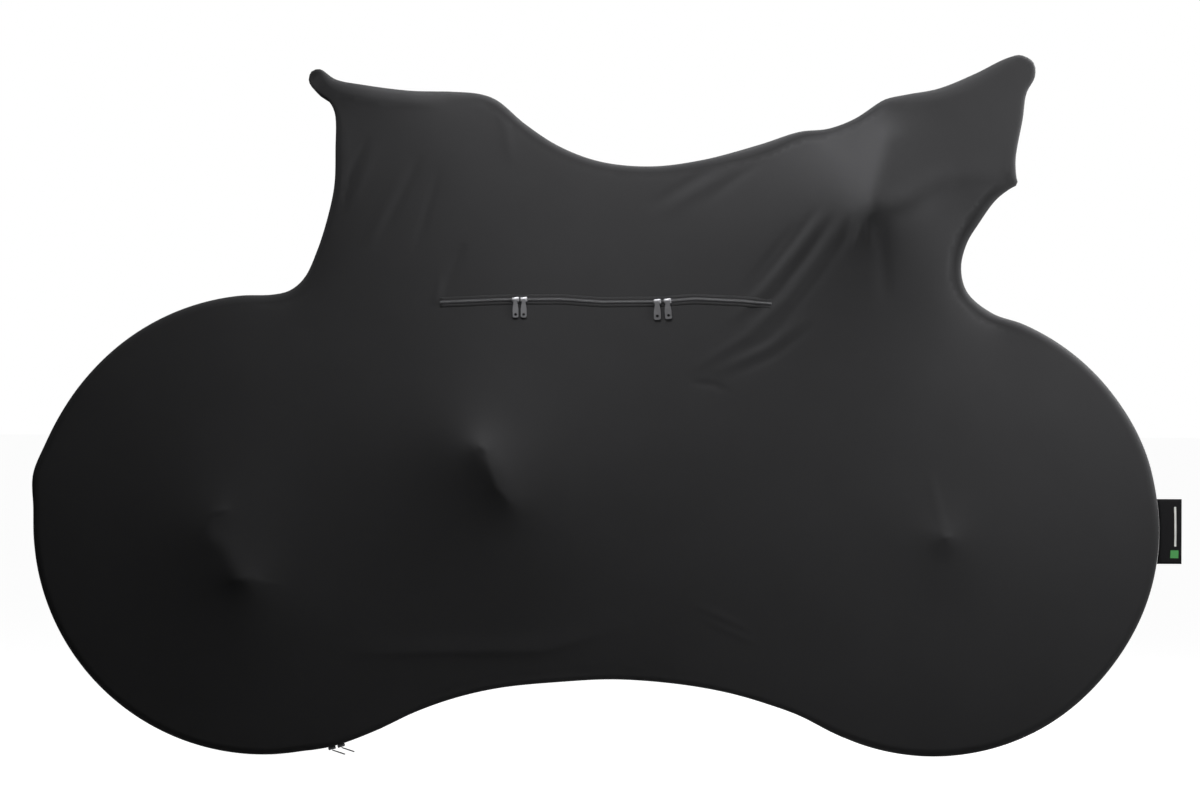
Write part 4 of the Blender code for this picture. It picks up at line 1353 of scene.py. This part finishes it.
def ribbon_material():
    """Black woven ribbon with a pale stripe and a green block."""
    made, tree, shader = plain_material("woven_ribbon", RIBBON_COLOUR, RIBBON_ROUGHNESS)
    where = node(tree, "ShaderNodeUVMap", uv_map="ribbon").outputs["UV"]
    parts = node(tree, "ShaderNodeSeparateXYZ", links={0: where})
    colour = node(tree, "ShaderNodeRGB").outputs[0]
    colour.default_value = (*RIBBON_COLOUR, 1.0)
    for (left, right, low, high), paint in ((LABEL_STRIPE, STRIPE_COLOUR), (LABEL_BLOCK, BLOCK_COLOUR)):
        along = between(tree, parts.outputs["X"], left, right)
        mask = product(tree, along, between(tree, parts.outputs["Y"], low, high))
        links = {"Factor": mask, MIX_FIRST: colour}
        mixed = node(tree, "ShaderNodeMix", {MIX_SECOND: paint}, links, data_type="RGBA")
        colour = mixed.outputs[MIX_RESULT]
    tree.links.new(colour, shader.inputs["Base Color"])
    ribs = node(tree, "ShaderNodeTexWave", RIBS, {"Vector": where}, bands_direction="Y")
    relief(tree, shader, ribs.outputs["Fac"], 0.4, 0.0002)
    shader.inputs["Specular IOR Level"].default_value = 0.12
    return made


woven_ribbon = ribbon_material()
print("ribbon:", len(woven_ribbon.node_tree.nodes), "nodes")

# %% [markdown]
# ## Ribbon loop
#
# A short length of the ribbon is folded once and sewn into the front seam, with its fold forward. A grid is
# bent to the outline of that fold, row by row, because the seam behind it is curved and the sewn edge has to
# follow it. It is a sheet like the panels, so it is given a thickness too.

# %% Make the ribbon loop
LABEL_LOW = 286.0
LABEL_HIGH = 382.0
LABEL_REACH = 1359.0
LABEL_HALF = 1.35
LABEL_LAYER = 0.9
LABEL_ROWS = 24
LABEL_STEPS = 8
LABEL_SEWN = 0.3


def ribbon_outline(z):
    """The loop's outer outline at one height, as (x, y) points from the sewn edge round the fold and back."""
    sewn = ENDS_APART + math.sqrt(FRONT_RADIUS**2 - (z - FRONT_RADIUS) ** 2) + LABEL_SEWN
    turn_centre = LABEL_REACH - LABEL_HALF
    reach = turn_centre - sewn
    side = [(sewn + reach * t / LABEL_STEPS, -LABEL_HALF) for t in range(LABEL_STEPS + 1)]
    turns = [math.radians(-90 + 180 * k / LABEL_STEPS) for k in range(1, LABEL_STEPS)]
    fold = [(turn_centre + LABEL_HALF * math.cos(turn), LABEL_HALF * math.sin(turn)) for turn in turns]
    return side + fold + [(x, -y) for x, y in side[::-1]]


ribbon_bm = bmesh.new()
uv = ribbon_bm.loops.layers.uv.new("ribbon")
count = len(ribbon_outline(LABEL_LOW)) - 1
bmesh.ops.create_grid(ribbon_bm, x_segments=count, y_segments=LABEL_ROWS, size=0.5)
for face in ribbon_bm.faces:
    for corner in face.loops:
        along = corner.vert.co.x + 0.5
        corner[uv].uv = (1.0 - abs(1.0 - 2.0 * along), corner.vert.co.y + 0.5)
for vert in ribbon_bm.verts:
    z = LABEL_LOW + (vert.co.y + 0.5) * (LABEL_HIGH - LABEL_LOW)
    x, y = ribbon_outline(z)[round((vert.co.x + 0.5) * count)]
    vert.co = (x, y, z)
ribbon_loop = finished("ribbon_loop", ribbon_bm, woven_ribbon, "label_loop")
with_thickness(ribbon_loop, LABEL_LAYER)

# %% [markdown]
# ## Last lines
#
# The box of the dressed cover, with any solid still in view, is printed.

# %% Finish
low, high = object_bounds()
print("dressed box", [round(side, 3) for side in high - low])
